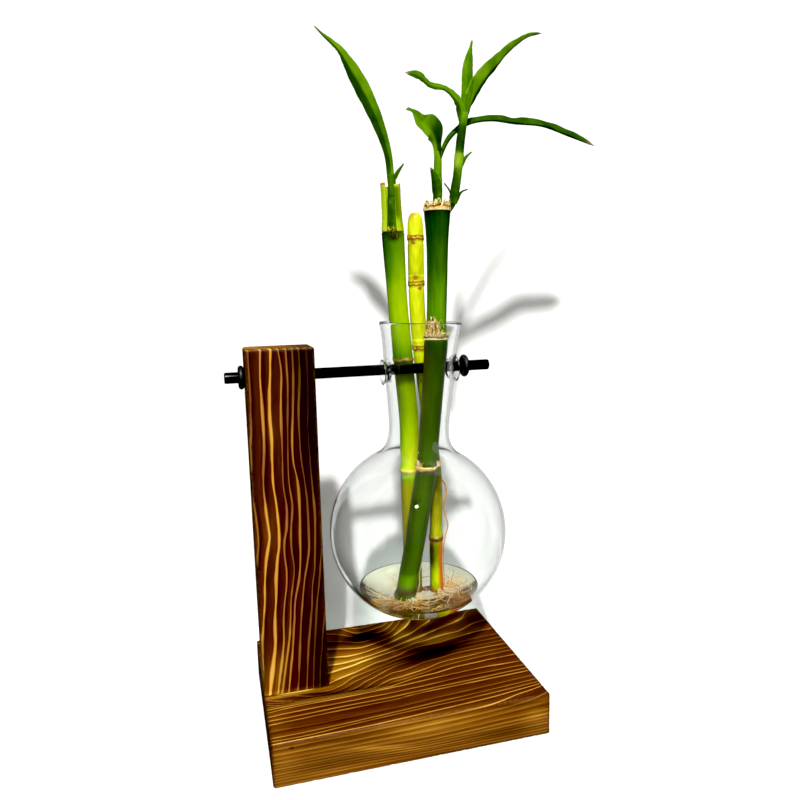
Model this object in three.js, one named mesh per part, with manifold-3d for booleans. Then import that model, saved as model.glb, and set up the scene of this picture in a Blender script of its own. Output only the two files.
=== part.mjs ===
// Lucky bamboo in a glass bulb vase that hangs by its neck from a rod on a charred pine stand.
// Millimetres, +Z up. The origin is the centre of the base board's underside; the rod runs along X.
import * as THREE from 'three';
import { mergeVertices } from 'three/addons/utils/BufferGeometryUtils.js';
import Module from 'manifold-3d';

const wasm = await Module();
wasm.setup();

// Fits between separate pieces
const GAP = 0.3;
const MERGE_DISTANCE = 1e-4;

// Wooden stand, all from one planed board
const BOARD = 20;
const BASE_LENGTH = 126;
const BASE_DEPTH = 92;
const POST_WIDTH = 30;
const POST_TOP = 180;
const WORN_EDGE = 0.8;
const POST_X = -(BASE_LENGTH - POST_WIDTH) / 2;

// Two countersunk screws that hold the post from below
const SCREW_RADIUS = 1.9;
const SCREW_HEAD_RADIUS = 3.6;
const SCREW_HEAD_HEIGHT = 3;
const SCREW_SUNK = 1;
const SCREW_LENGTH = 42;
const SCREW_SPACING = 9;

// Rod through the post, with a rubber ring on each end
const ROD_RADIUS = 2.5;
const ROD_Z = 167.2;
const ROD_LEFT = -71.8;
const ROD_RIGHT = 52;
const ROD_END_ROUNDING = 0.7;
const RING_SECTION = 1.25;
const RING_LEFT_X = -BASE_LENGTH / 2 - RING_SECTION - GAP;
const RING_RIGHT_X = 39.7;

// Blown glass vase, which hangs a little out of true
const NECK_X = 17.55;
const VASE_LEAN = THREE.MathUtils.degToRad(2);
const BULB_DROP = 78.67;
const BULB_RADIUS = 42.4;
const GLASS_WALL = 1.4;
const WAIST_DROP = 27.3;
const WAIST_RADIUS = 14.25;
const NECK_RADIUS = 16.7;
const RIM_RISE = 21.5;
const RIM_RADIUS = 19.3;
const EYE_RADIUS = 3.9;
const EYE_LIP_RADIUS = 6.1;
const EYE_LIP_REACH = 18.1;
const BULB_X = NECK_X - BULB_DROP * Math.sin(VASE_LEAN);
const BULB_Z = ROD_Z - BULB_DROP * Math.cos(VASE_LEAN);
const BULB_BORE = BULB_RADIUS - GLASS_WALL;
const GLASS_SIDES = 32;
const EYE_LIP_INSIDE = 13.4;

// Shallow pool of water, hollowed beneath where the roots spread over the glass
const WATER_Z = 60;
const WATER_UNDERSIDE_Z = 52.6;
const ROOT_LAYER = 3;
const ROOT_SPREAD = 22;
const ROOT_RADIUS = 0.5;

// Leaves and dry sheaths
const BLADE_THICKNESS = 0.8;
const BLADE_STEPS = 14;
const SCALE_LEAF_STEPS = 6;
const BLADE_TIP = 0.45;
const SHEATH_WALL = 0.8;

function seededRandom(seed) {
  let state = seed;
  return () => {
    state = (state * 1664525 + 1013904223) % 4294967296;
    return state / 4294967296;
  };
}

function finish(colour, roughness, metalness = 0) {
  return new THREE.MeshStandardMaterial({ color: colour, roughness, metalness });
}

const wood = finish('#6f3d12', 0.42);
const blackPaint = finish('#0b0a0a', 0.25, 0.3);
const blackRubber = finish('#101010', 0.6);
const screwSteel = finish('#b8a878', 0.35, 1);
const clearGlass = new THREE.MeshStandardMaterial({
  color: '#eef4f2', roughness: 0.03, transparent: true, opacity: 0.3,
});
const clearWater = new THREE.MeshStandardMaterial({
  color: '#e8efe6', roughness: 0.02, transparent: true, opacity: 0.35,
});
const darkCane = finish('#1f6408', 0.35);
const limeCane = finish('#7fb80c', 0.38);
const yellowCane = finish('#dcd80c', 0.4);
const leafGreen = finish('#3c9208', 0.42);
const drySheath = finish('#d8a868', 0.8);
const paleSheath = finish('#b4cc3a', 0.5);
const rootOrange = finish('#c8742c', 0.6);

// Geometry helpers

function signedVolume(positions, index) {
  const a = new THREE.Vector3();
  const b = new THREE.Vector3();
  const c = new THREE.Vector3();
  let volume = 0;
  for (let i = 0; i < index.length; i += 3) {
    a.fromArray(positions, index[i] * 3);
    b.fromArray(positions, index[i + 1] * 3);
    c.fromArray(positions, index[i + 2] * 3);
    volume += a.dot(b.cross(c)) / 6;
  }
  return volume;
}

// One closed solid from a closed geometry, with its faces turned outwards
function solidOf(geometry) {
  const bare = geometry.clone();
  bare.deleteAttribute('normal');
  bare.deleteAttribute('uv');
  const merged = mergeVertices(bare, MERGE_DISTANCE);
  const positions = merged.attributes.position.array;
  const corners = [];
  for (let i = 0; i < merged.index.count; i += 3) {
    const a = merged.index.getX(i);
    const b = merged.index.getX(i + 1);
    const c = merged.index.getX(i + 2);
    if (a !== b && b !== c && c !== a) corners.push(a, b, c);
  }
  if (signedVolume(positions, corners) < 0) corners.reverse();
  return new wasm.Manifold(new wasm.Mesh({
    numProp: 3,
    vertProperties: Float32Array.from(positions),
    triVerts: Uint32Array.from(corners),
  }));
}

function geometryOf(solid) {
  const mesh = solid.getMesh();
  const geometry = new THREE.BufferGeometry();
  geometry.setAttribute('position', new THREE.Float32BufferAttribute(mesh.vertProperties, 3));
  geometry.setIndex(Array.from(mesh.triVerts));
  geometry.computeVertexNormals();
  return geometry;
}

function piece(name, geometry, material, position = [0, 0, 0]) {
  const mesh = new THREE.Mesh(geometryOf(solidOf(geometry)), material);
  mesh.name = name;
  mesh.position.set(...position);
  return mesh;
}

function lathe(profile, sides) {
  const points = profile.map(([radius, height]) => new THREE.Vector2(radius, height));
  return new THREE.LatheGeometry(points, sides).rotateX(Math.PI / 2);
}

function cylinderAlongX(radius, length, sides = 24) {
  return new THREE.CylinderGeometry(radius, radius, length, sides).rotateZ(Math.PI / 2);
}

// Board with worn edges, its underside at z = 0
function board(length, depth, height) {
  const outline = new THREE.Shape();
  const x = length / 2 - WORN_EDGE;
  const y = depth / 2 - WORN_EDGE;
  outline.moveTo(-x, -y).lineTo(x, -y).lineTo(x, y).lineTo(-x, y).closePath();
  const geometry = new THREE.ExtrudeGeometry(outline, {
    depth: height - 2 * WORN_EDGE,
    bevelThickness: WORN_EDGE,
    bevelSize: WORN_EDGE,
    bevelSegments: 2,
    curveSegments: 4,
  });
  return geometry.translate(0, 0, WORN_EDGE);
}

// Value at a height, smooth through stations listed as [height, value]
function smoothThrough(stations) {
  const slope = (i) => {
    const low = stations[Math.max(i - 1, 0)];
    const high = stations[Math.min(i + 1, stations.length - 1)];
    return (high[1] - low[1]) / (high[0] - low[0]);
  };
  return (z) => {
    const last = stations.length - 1;
    if (z <= stations[0][0]) return stations[0][1] + slope(0) * (z - stations[0][0]);
    if (z >= stations[last][0]) return stations[last][1] + slope(last) * (z - stations[last][0]);
    const i = stations.findIndex((station) => station[0] > z) - 1;
    const span = stations[i + 1][0] - stations[i][0];
    const t = (z - stations[i][0]) / span;
    const rise = stations[i + 1][1] - stations[i][1];
    const from = slope(i) * span;
    const to = slope(i + 1) * span;
    return stations[i][1] + from * t + (3 * rise - 2 * from - to) * t * t
      + (from + to - 2 * rise) * t * t * t;
  };
}

// Centre line [x, y] at a height, from a list of points [x, y, z] that rises along z
function centreLine(points) {
  const alongX = smoothThrough(points.map(([x, , z]) => [z, x]));
  const alongY = smoothThrough(points.map(([, y, z]) => [z, y]));
  return (z) => [alongX(z), alongY(z)];
}

// A profile turned round the Z axis, then every height shifted onto the centre line
function turnedAlong(profile, centre, sides) {
  const geometry = lathe(profile, sides);
  const position = geometry.attributes.position;
  for (let i = 0; i < position.count; i += 1) {
    const [x, y] = centre(position.getZ(i));
    position.setXY(i, position.getX(i) + x, position.getY(i) + y);
  }
  return geometry;
}

function lineOfHeights(low, high, step) {
  const count = Math.max(2, Math.round((high - low) / step));
  return Array.from({ length: count + 1 }, (_, i) => low + ((high - low) * i) / count);
}

// Canes: round, jointed by swollen leaf scars, cut square at the foot

const LEFT_CANE = {
  points: [
    [13.4, 4.7, 49.2], [13.6, 5.9, 100], [13.6, 6.5, 120], [13.5, 7.0, 142],
    [11.9, 7.7, 165], [9.9, 8.5, 198], [8.9, 9.2, 222], [8.7, 9.4, 230],
  ],
  radii: [
    [49.2, 4.4], [80, 4.6], [115, 4.8], [125, 4.7], [165, 4.85], [172, 4.9], [200, 4.65], [230, 5.3],
  ],
  scars: [116.5, 171],
};
const MIDDLE_CANE = {
  points: [
    [24.4, -0.1, 50.1], [24.4, 1.0, 72], [24.8, 1.7, 83], [25.5, 3.3, 113],
    [22.9, 4.9, 143], [20.9, 6.2, 164], [19.8, 6.4, 178], [18.8, 6.6, 199],
    [18.9, 6.9, 225], [18.9, 7.0, 238.8],
  ],
  radii: [
    [50.1, 3.0], [70, 3.1], [81, 3.3], [90, 3.0], [113, 3.1], [165, 3.35], [177, 3.5], [205, 3.5],
    [225, 3.5], [234, 3.3], [237.5, 2.7], [238.8, 1.6],
  ],
  scars: [82.5, 176.5, 206.5, 227.5],
};
const FRONT_CANE = {
  points: [
    [5.8, -3.5, 50.5], [8.6, -4.1, 66], [12.3, -4.7, 85], [15.7, -5.3, 104.7],
    [18.1, -5.8, 119.7], [19.9, -6.8, 142], [22.0, -8.0, 166.3], [23.1, -8.4, 181.5],
    [23.7, -9.0, 199], [24.0, -9.5, 216.5], [24.3, -10.1, 238.2],
  ],
  radii: [
    [50.5, 4.6], [70, 4.7], [95, 5.0], [118, 5.0], [124, 4.75], [142, 4.8], [166, 4.9], [180, 5.3],
    [186, 4.6], [205, 4.6], [225, 4.9], [238.2, 5.7],
  ],
  scars: [120, 182],
};
const SCAR_SWELLING = 0.45;
const SCAR_HALF_HEIGHT = 0.9;
const CANE_SIDES = 18;
const CANE_STEP = 13;

function caneRadius(cane) {
  const plain = smoothThrough(cane.radii);
  return (z) => cane.scars.reduce(
    (radius, scar) => radius + SCAR_SWELLING * Math.exp(-(((z - scar) / SCAR_HALF_HEIGHT) ** 2)),
    plain(z),
  );
}

function caneGeometry(cane) {
  const low = cane.points[0][2];
  const high = cane.points[cane.points.length - 1][2];
  const radius = caneRadius(cane);
  const heights = lineOfHeights(low, high, CANE_STEP)
    .filter((z) => cane.scars.every((scar) => Math.abs(z - scar) > 3))
    .concat(cane.scars.flatMap((scar) => [-1.8, -0.8, 0, 0.8, 1.8].map((rise) => scar + rise)))
    .concat(cane.radii.map(([z]) => z).filter((z) => z > high - 6 && z < high - 0.5))
    .sort((a, b) => a - b);
  const side = heights.map((z) => [radius(z), z]);
  return turnedAlong([[0, low], ...side, [0, high]], centreLine(cane.points), CANE_SIDES);
}

// Straight-sided bar round a centre line, for stalks and for the holes that stems stand in
function stalkGeometry(points, radii, sides = 12, step = 5) {
  const low = points[0][2];
  const high = points[points.length - 1][2];
  const radius = smoothThrough(radii);
  const side = lineOfHeights(low, high, step).map((z) => [radius(z), z]);
  return turnedAlong([[0, low], ...side, [0, high]], centreLine(points), sides);
}

// Leaf blades

// A blade folded along its midrib, its base first. faces lists the way its upper side looks;
// widths lists its half-width as [share of its length, half-width].
function bladeGeometry({ spine, faces, widths, fold, steps = BLADE_STEPS }) {
  const curve = new THREE.CatmullRomCurve3(spine.map((point) => new THREE.Vector3(...point)));
  const looks = faces.map((face) => new THREE.Vector3(...face).normalize());
  const halfWidth = smoothThrough(widths);
  const upper = [];
  const lower = [];
  for (let i = 0; i <= steps; i += 1) {
    const t = i / steps;
    const centre = curve.getPointAt(t);
    const tangent = curve.getTangentAt(t);
    const place = t * (looks.length - 1);
    const from = Math.min(Math.floor(place), looks.length - 2);
    const look = looks[from].clone().lerp(looks[from + 1], place - from);
    const side = new THREE.Vector3().crossVectors(tangent, look).normalize();
    const normal = new THREE.Vector3().crossVectors(side, tangent).normalize();
    const half = Math.max(BLADE_TIP, halfWidth(t));
    for (const across of [-1, 0, 1]) {
      const edge = centre.clone()
        .addScaledVector(side, across * half * Math.cos(fold))
        .addScaledVector(normal, Math.abs(across) * half * Math.sin(fold));
      upper.push(edge.clone().addScaledVector(normal, BLADE_THICKNESS / 2));
      lower.push(edge.clone().addScaledVector(normal, -BLADE_THICKNESS / 2));
    }
  }
  const points = [...upper, ...lower];
  const under = upper.length;
  const index = [];
  const quad = (a, b, c, d) => index.push(a, b, c, a, c, d);
  for (let i = 0; i < steps; i += 1) {
    const row = 3 * i;
    for (const cell of [0, 1]) {
      const a = row + cell;
      quad(a, a + 1, a + 4, a + 3);
      index.push(under + a, under + a + 4, under + a + 1, under + a, under + a + 3, under + a + 4);
    }
    quad(row, row + 3, under + row + 3, under + row);
    quad(row + 2, under + row + 2, under + row + 5, row + 5);
  }
  for (const cell of [0, 1]) {
    quad(cell, under + cell, under + cell + 1, cell + 1);
    const end = 3 * steps + cell;
    quad(end, end + 1, under + end + 1, under + end);
  }
  const geometry = new THREE.BufferGeometry();
  const numbers = points.flatMap((point) => point.toArray());
  geometry.setAttribute('position', new THREE.Float32BufferAttribute(numbers, 3));
  geometry.setIndex(index);
  return geometry;
}

// A short pointed scale leaf on a stalk
function scaleLeaf(spine, face, half) {
  return {
    spine,
    faces: [face, face],
    widths: [[0, 0.85 * half], [0.3, half], [0.7, 0.65 * half], [1, BLADE_TIP]],
    fold: 0.35,
    steps: SCALE_LEAF_STEPS,
  };
}

// Leafy shoots: a stalk with its leaves and the small scale leaves round it

const LEFT_SHOOT = {
  stalk: [[8.6, 9.5, 230.5], [8.7, 9.4, 245], [8.8, 9.1, 256]],
  stalkRadii: [[230.5, 2.3], [245, 2.2], [256, 1.7]],
  blades: [
    {
      spine: [
        [8.8, 9.0, 252], [7.4, 8.2, 264.4], [3.1, 6.8, 276.6], [-2.8, 5.2, 287.9],
        [-9.5, 3.0, 297.6], [-16.0, 0.4, 305.8], [-21.9, -2.2, 309.5], [-26.8, -5.0, 312.8],
      ],
      faces: [[-0.4, -0.9, 0.1], [0.1, -0.9, 0.2], [0.55, -0.65, 0.5]],
      widths: [[0, 1.5], [0.2, 1.8], [0.45, 3.35], [0.65, 4.4], [0.85, 2.3], [1, BLADE_TIP]],
      fold: 0.42,
    },
    scaleLeaf([[9.2, 8.6, 253], [11.4, 7.5, 257], [14.0, 6.5, 260.7]], [-0.5, -0.8, 0.3], 1.2),
  ],
};
const FRONT_SHOOT = {
  stalk: [[24.2, -10.4, 238.6], [24.4, -10.5, 251], [24.9, -10.3, 263]],
  stalkRadii: [[238.6, 2.05], [251, 1.9], [263, 1.6]],
  blades: [
    {
      spine: [
        [24.7, -10.6, 260], [23.8, -12.0, 266.0], [21.5, -13.5, 270.3], [15.5, -15.0, 273.8],
        [11.6, -16.5, 277.7], [8.5, -18.0, 278.1],
      ],
      faces: [[-0.5, -0.85, 0.1], [-0.2, -0.85, 0.3], [-0.1, -0.8, 0.6]],
      widths: [[0, 1.65], [0.25, 2.45], [0.5, 5.7], [0.7, 3.3], [0.88, 1.1], [1, 0.6]],
      fold: 0.5,
    },
    {
      spine: [
        [25.6, -9.8, 259], [30.9, -8.6, 268.5], [39.3, -7.0, 275.1], [52.0, -3.5, 278.4],
        [67.0, 1.5, 278.7], [83.4, 7.5, 279.5], [99.6, 11.5, 276.4], [116.2, 15.5, 273.0],
      ],
      faces: [[-0.9, -0.2, 0.4], [-0.2, -0.15, 1], [0.1, -0.2, 1], [0.3, -0.4, 0.85]],
      widths: [[0, 1.2], [0.25, 2.55], [0.5, 3.25], [0.75, 3.25], [0.9, 2.65], [1, BLADE_TIP]],
      fold: 0.35,
    },
    scaleLeaf([[24.2, -11.6, 246], [22.6, -12.8, 252], [20.2, -13.8, 255.8]], [0.2, -1, 0.2], 1.9),
  ],
};
const RIGHT_SHOOT = {
  stalk: [
    [29.6, -11.2, 235.5], [31.1, -12.3, 243], [32.1, -12.8, 248.2], [32.9, -13.0, 254.1],
    [34.4, -13.0, 267.2], [35.4, -13.0, 273.5], [36.4, -12.8, 279],
  ],
  stalkRadii: [[235.5, 1.9], [248, 1.9], [267, 1.9], [279, 1.7]],
  blades: [
    {
      spine: [
        [35.4, -13.0, 276], [33.2, -14.0, 282.2], [26.6, -15.6, 287.3], [19.4, -17.2, 288.1],
        [14.2, -19.0, 290.9], [8.0, -20.0, 292.0],
      ],
      faces: [[-0.3, -0.8, 0.5], [-0.1, -0.5, 0.9], [0, -0.1, 1], [0.2, -0.9, 0.3]],
      widths: [[0, 1.6], [0.3, 2.35], [0.5, 1.6], [0.7, 0.9], [0.85, 1.65], [1, BLADE_TIP]],
      fold: 0.3,
    },
    {
      spine: [
        [36.4, -13.0, 276], [36.6, -12.8, 283.1], [37.7, -12.2, 289.7], [38.4, -11.0, 296.6],
        [40.1, -9.5, 303.6], [42.5, -7.0, 311.1],
      ],
      faces: [[0.1, -1, 0.1], [0.1, -1, 0.1]],
      widths: [[0, 1.45], [0.2, 1.9], [0.45, 2.6], [0.7, 1.95], [0.88, 0.6], [1, BLADE_TIP]],
      fold: 0.35,
    },
    {
      spine: [
        [37.2, -12.4, 276], [40.0, -11.0, 283.7], [44.7, -9.0, 290.9], [50.1, -7.0, 297.6],
        [56.1, -4.5, 303.4], [61.9, -2.0, 309.3], [68.1, 0.0, 314.1], [74.5, 2.5, 318.1],
        [81.7, 5.0, 320.3],
      ],
      faces: [[-0.6, 0.7, 0.4], [-0.5, 0.6, 0.5], [-0.4, 0.4, 0.7]],
      widths: [[0, 1.6], [0.2, 4.65], [0.45, 3.2], [0.65, 2.1], [0.85, 0.9], [1, BLADE_TIP]],
      fold: 0.4,
    },
    scaleLeaf([[30.7, -13.6, 240.5], [30.7, -15.0, 248], [31.4, -15.2, 255.6]], [-0.3, -1, 0.1], 1.9),
    scaleLeaf([[33.6, -13.4, 255], [36.4, -13.7, 260], [39.3, -14.0, 262.6]], [-0.4, -0.8, 0.55], 1.1),
    scaleLeaf([[32.0, -13.0, 241], [34.4, -13.5, 245.4], [37.3, -14.0, 246.7]], [-0.25, -0.55, 0.85], 0.9),
    scaleLeaf([[30.6, -12.9, 241.5], [28.4, -14.0, 246.3], [25.9, -14.6, 249.1]], [0.4, -0.8, 0.5], 0.8),
  ],
};
const RIGHT_SHOOT_LOW_LEAVES = RIGHT_SHOOT.blades.slice(3);

function shootSolid(shoot) {
  return shoot.blades.reduce(
    (solid, blade) => solid.add(solidOf(bladeGeometry(blade))),
    solidOf(stalkGeometry(shoot.stalk, shoot.stalkRadii)),
  );
}

// Remains of old leaf sheaths: a close ring round a cane with a torn upper edge
function tornRing({ centre, inner, wall, low, heights, seed, sides = 28, tear = 0.35 }) {
  const random = seededRandom(seed);
  const geometry = turnedAlong(
    [[inner, low], [inner + wall, low], [inner + wall, low + 1], [inner, low + 1], [inner, low]],
    centre,
    sides,
  );
  const position = geometry.attributes.position;
  const torn = Array.from({ length: sides }, (_, i) => {
    const angle = (2 * Math.PI * i) / sides;
    return heights(angle) * (1 - tear + 2 * tear * random());
  });
  for (let i = 0; i < position.count; i += 1) {
    if (position.getZ(i) > low + 0.5) {
      const [x, y] = centre(low + 1);
      const angle = Math.atan2(position.getY(i) - y, position.getX(i) - x);
      const share = Math.round((angle / (2 * Math.PI)) * sides);
      const height = torn[(share + sides) % sides];
      const [shiftX, shiftY] = centre(low + height);
      position.setXYZ(i, position.getX(i) + shiftX - x, position.getY(i) + shiftY - y, low + height);
    }
  }
  return geometry;
}

// Height of the torn edge: a low rim all round, raised by a tongue centred on one side
function tongue(rim, extra, side, spread) {
  return (angle) => rim + extra * Math.exp(-((Math.sin((angle - side) / 2) / spread) ** 2));
}

// Roots: a crown round the foot of a cane, and strands that wander over the inside of the bulb

const ROOT_CROWN_WALL = 1.1;
const ROOT_CROWN_RISE = 0.5;
const ROOT_CROWN_HEIGHT = 1.3;
const ROOT_STEPS = 7;
const AERIAL_ROOT_STEPS = 24;

// Directions in which strands leave each cane's foot, in degrees
const LEFT_ROOTS = [62, 82, 100, 120, 138];
const FRONT_ROOTS = [165, 188, 210, 232, 254, 276, 298];
const MIDDLE_ROOTS = [-88, -64, -40, -16, 8, 32, 56];

// Height of the root layer's middle above a point of the bulb's floor
function rootHeight(x, y, rise) {
  const away = Math.hypot(x - BULB_X, y);
  const radius = BULB_BORE - 2 * GAP - ROOT_RADIUS - rise;
  return BULB_Z - Math.sqrt(radius * radius - away * away);
}

function tube(points, radius, steps) {
  const section = new THREE.Shape();
  section.absarc(0, 0, radius, 0, 2 * Math.PI);
  return new THREE.ExtrudeGeometry(section, {
    steps,
    curveSegments: 3,
    bevelEnabled: false,
    extrudePath: new THREE.CatmullRomCurve3(points),
  });
}

// Distance from a foot, in one direction, to the edge of the round patch that roots cover
function roomForRoot(foot, direction) {
  const x = foot[0] - BULB_X;
  const along = x * Math.cos(direction) + foot[1] * Math.sin(direction);
  const patch = ROOT_SPREAD - 2;
  return Math.sqrt(along ** 2 - x ** 2 - foot[1] ** 2 + patch ** 2) - along;
}

function rootStrand(foot, crownRadius, crownZ, direction, reach, random) {
  const wave = (random() - 0.5) * 2;
  const bend = (random() - 0.5) * 0.5;
  const points = [];
  for (let i = 0; i <= 5; i += 1) {
    const t = i / 5;
    const away = crownRadius + t * reach;
    const turn = direction + bend * t * t + (wave * 1.1 * Math.sin(4.5 * t)) / away;
    const x = foot[0] + away * Math.cos(turn);
    const y = foot[1] + away * Math.sin(turn);
    const rise = 0.8 * Math.abs(Math.sin(5 * t + wave));
    const z = i === 0 ? crownZ : rootHeight(x, y, rise * t);
    points.push(new THREE.Vector3(x, y, z));
  }
  return tube(points, ROOT_RADIUS, ROOT_STEPS);
}

function rootsSolid(cane, directions, reach, seed) {
  const random = seededRandom(seed);
  const foot = cane.points[0];
  const inner = cane.radii[0][1] + GAP;
  const low = foot[2] + ROOT_CROWN_RISE;
  const high = low + ROOT_CROWN_HEIGHT;
  const outer = inner + ROOT_CROWN_WALL;
  const crown = turnedAlong(
    [[inner, low], [outer, low], [outer, high], [inner, high], [inner, low]],
    centreLine(cane.points),
    CANE_SIDES,
  );
  return directions.reduce((solid, degrees, i) => {
    const direction = THREE.MathUtils.degToRad(degrees);
    const start = inner + ROOT_CROWN_WALL / 2;
    const room = roomForRoot(foot, direction) - start;
    const length = Math.min(room, reach * (0.75 + 0.4 * random()));
    return solid.add(solidOf(rootStrand(foot, start, low + 0.65, direction, length, random)));
  }, solidOf(crown));
}

// The long bare root that leaves the middle cane at a scar and hangs beside it into the water
const AERIAL_ROOT = [
  [111, 3.9], [107, 6.0], [103.5, 5.2], [100, 4.1], [96, 4.5], [92.5, 5.7], [88, 7.2], [84, 6.3],
  [79, 5.2], [74, 4.6], [69, 4.3], [64, 4.3], [58, 4.1], [51.2, 3.85],
];

function aerialRootGeometry() {
  const centre = centreLine(MIDDLE_CANE.points);
  const points = AERIAL_ROOT.map(([z, away]) => {
    const [x, y] = centre(z);
    return new THREE.Vector3(x + away, y, z);
  });
  return tube(points, ROOT_RADIUS, AERIAL_ROOT_STEPS);
}

// Glass vase and water

function leaning(geometry) {
  return geometry.rotateY(VASE_LEAN).translate(NECK_X, 0, ROD_Z);
}

// Vase outline as [radius, height], heights measured along its axis from the rod.
// A set-in of the wall's thickness gives the inside.
function vaseProfile(inset) {
  const bulb = BULB_RADIUS - inset;
  const outline = new THREE.Path();
  const shoulder = THREE.MathUtils.degToRad(61);
  outline.absarc(0, -BULB_DROP, bulb, -Math.PI / 2, shoulder, false);
  outline.bezierCurveTo(
    bulb * Math.cos(shoulder) - 5.2, bulb * Math.sin(shoulder) - BULB_DROP + 2.9,
    WAIST_RADIUS - inset, -WAIST_DROP - 7,
    WAIST_RADIUS - inset, -WAIST_DROP,
  );
  outline.bezierCurveTo(
    WAIST_RADIUS - inset + 0.3, -WAIST_DROP + 9,
    NECK_RADIUS - inset - 0.9, -9,
    NECK_RADIUS - inset, 0,
  );
  outline.bezierCurveTo(
    NECK_RADIUS - inset + 0.7, 7,
    RIM_RADIUS - inset - 1.8, RIM_RISE - 7,
    RIM_RADIUS - inset, RIM_RISE - 0.6,
  );
  return outline.curves.flatMap((curve, i) => {
    const steps = i === 0 ? 16 : 5;
    return curve.getPoints(steps).slice(i === 0 ? 0 : 1).map((point) => [point.x, point.y]);
  });
}

function vaseSolid() {
  const outside = vaseProfile(0);
  outside[0][0] = 0;
  const inside = vaseProfile(GLASS_WALL);
  inside[0][0] = 0;
  const body = solidOf(leaning(lathe(
    [...outside, [RIM_RADIUS - 0.35, RIM_RISE], [0, RIM_RISE]], GLASS_SIDES,
  )));
  const hollow = solidOf(leaning(lathe(
    [...inside, [RIM_RADIUS - GLASS_WALL + 0.3, RIM_RISE + 0.2], [0, RIM_RISE + 0.2]], GLASS_SIDES,
  )));
  const eyeZ = ROD_Z - (EYE_RADIUS - ROD_RADIUS - GAP);
  const lipLength = 2 * EYE_LIP_REACH;
  const lips = [
    cylinderAlongX(EYE_LIP_RADIUS, lipLength - 1.4),
    cylinderAlongX(EYE_LIP_RADIUS - 0.7, lipLength),
  ].map((geometry) => solidOf(geometry.translate(NECK_X, 0, eyeZ)));
  const bore = solidOf(cylinderAlongX(EYE_RADIUS, 2 * lipLength).translate(NECK_X, 0, eyeZ));
  const clearWidth = 2 * EYE_LIP_INSIDE;
  const clearing = solidOf(cylinderAlongX(2 * EYE_LIP_RADIUS, clearWidth).translate(NECK_X, 0, eyeZ));
  const eyelets = lips[0].add(lips[1]).subtract(clearing);
  return body.subtract(hollow).add(eyelets).subtract(bore);
}

function waterSolid() {
  const arc = (radius, from, to, steps) => Array.from({ length: steps + 1 }, (_, i) => {
    const away = from + ((to - from) * i) / steps;
    return [away, BULB_Z - Math.sqrt(radius * radius - away * away)];
  });
  const edgeRadius = BULB_BORE - GAP - 0.1;
  const layerRadius = BULB_BORE - ROOT_LAYER;
  const drop = BULB_Z - WATER_UNDERSIDE_Z;
  const flat = Math.sqrt(layerRadius ** 2 - drop ** 2);
  const surface = Math.sqrt(edgeRadius ** 2 - (BULB_Z - WATER_Z) ** 2);
  const profile = [
    [0, WATER_UNDERSIDE_Z],
    ...arc(layerRadius, flat, ROOT_SPREAD, 6),
    ...arc(edgeRadius, ROOT_SPREAD + 0.3, surface, 6),
    [0, WATER_Z],
  ];
  const pool = solidOf(lathe(profile, GLASS_SIDES).translate(BULB_X, 0, 0));
  const hole = (cane, margin) => {
    const centre = centreLine(cane.points);
    const heights = [WATER_UNDERSIDE_Z - 4, WATER_UNDERSIDE_Z + 4, WATER_Z + 4];
    const radius = Math.max(caneRadius(cane)(WATER_UNDERSIDE_Z), caneRadius(cane)(WATER_Z)) + margin;
    const side = heights.map((z) => [radius, z]);
    return solidOf(turnedAlong([[0, heights[0]], ...side, [0, heights[2]]], centre, CANE_SIDES));
  };
  return pool
    .subtract(hole(LEFT_CANE, GAP))
    .subtract(hole(FRONT_CANE, GAP))
    .subtract(hole(MIDDLE_CANE, 2 * ROOT_RADIUS + 3 * GAP));
}

// Stand

function screwPlaces() {
  return [-SCREW_SPACING / 2, SCREW_SPACING / 2];
}

function screwGeometry(clearance) {
  const shank = SCREW_RADIUS + clearance;
  const head = SCREW_HEAD_RADIUS + clearance;
  const foot = clearance ? -1 : SCREW_SUNK;
  return lathe([
    [0, foot],
    [head, foot],
    [head, SCREW_SUNK + 0.4],
    [shank, SCREW_SUNK + SCREW_HEAD_HEIGHT],
    [shank, SCREW_LENGTH - 4],
    [clearance ? shank : 0.4, SCREW_LENGTH + clearance],
    [0, SCREW_LENGTH + clearance],
  ], 16);
}

function drivenScrew() {
  const slot = (length, depth) => new THREE.BoxGeometry(length, depth, 2 * SCREW_SUNK)
    .translate(0, 0, SCREW_SUNK);
  return geometryOf(solidOf(screwGeometry(0))
    .subtract(solidOf(slot(3.6, 0.9)))
    .subtract(solidOf(slot(0.9, 3.6))));
}

function withScrewHoles(solid) {
  return screwPlaces().reduce(
    (rest, y) => rest.subtract(solidOf(screwGeometry(GAP).translate(POST_X, y, 0))),
    solid,
  );
}

function baseSolid() {
  return withScrewHoles(solidOf(board(BASE_LENGTH, BASE_DEPTH, BOARD)));
}

function postSolid() {
  const bar = board(POST_WIDTH, BOARD, POST_TOP - BOARD).translate(POST_X, 0, BOARD);
  const rodHole = cylinderAlongX(ROD_RADIUS + GAP, 2 * POST_WIDTH).translate(POST_X, 0, ROD_Z);
  return withScrewHoles(solidOf(bar).subtract(solidOf(rodHole)));
}

function rodGeometry() {
  const length = ROD_RIGHT - ROD_LEFT;
  return lathe([
    [0, 0],
    [ROD_RADIUS - ROD_END_ROUNDING, 0],
    [ROD_RADIUS, ROD_END_ROUNDING],
    [ROD_RADIUS, length - ROD_END_ROUNDING],
    [ROD_RADIUS - ROD_END_ROUNDING, length],
    [0, length],
  ], 24).rotateY(Math.PI / 2);
}

function ringGeometry() {
  return new THREE.TorusGeometry(ROD_RADIUS + GAP + RING_SECTION, RING_SECTION, 8, 20)
    .rotateY(Math.PI / 2);
}

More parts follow.
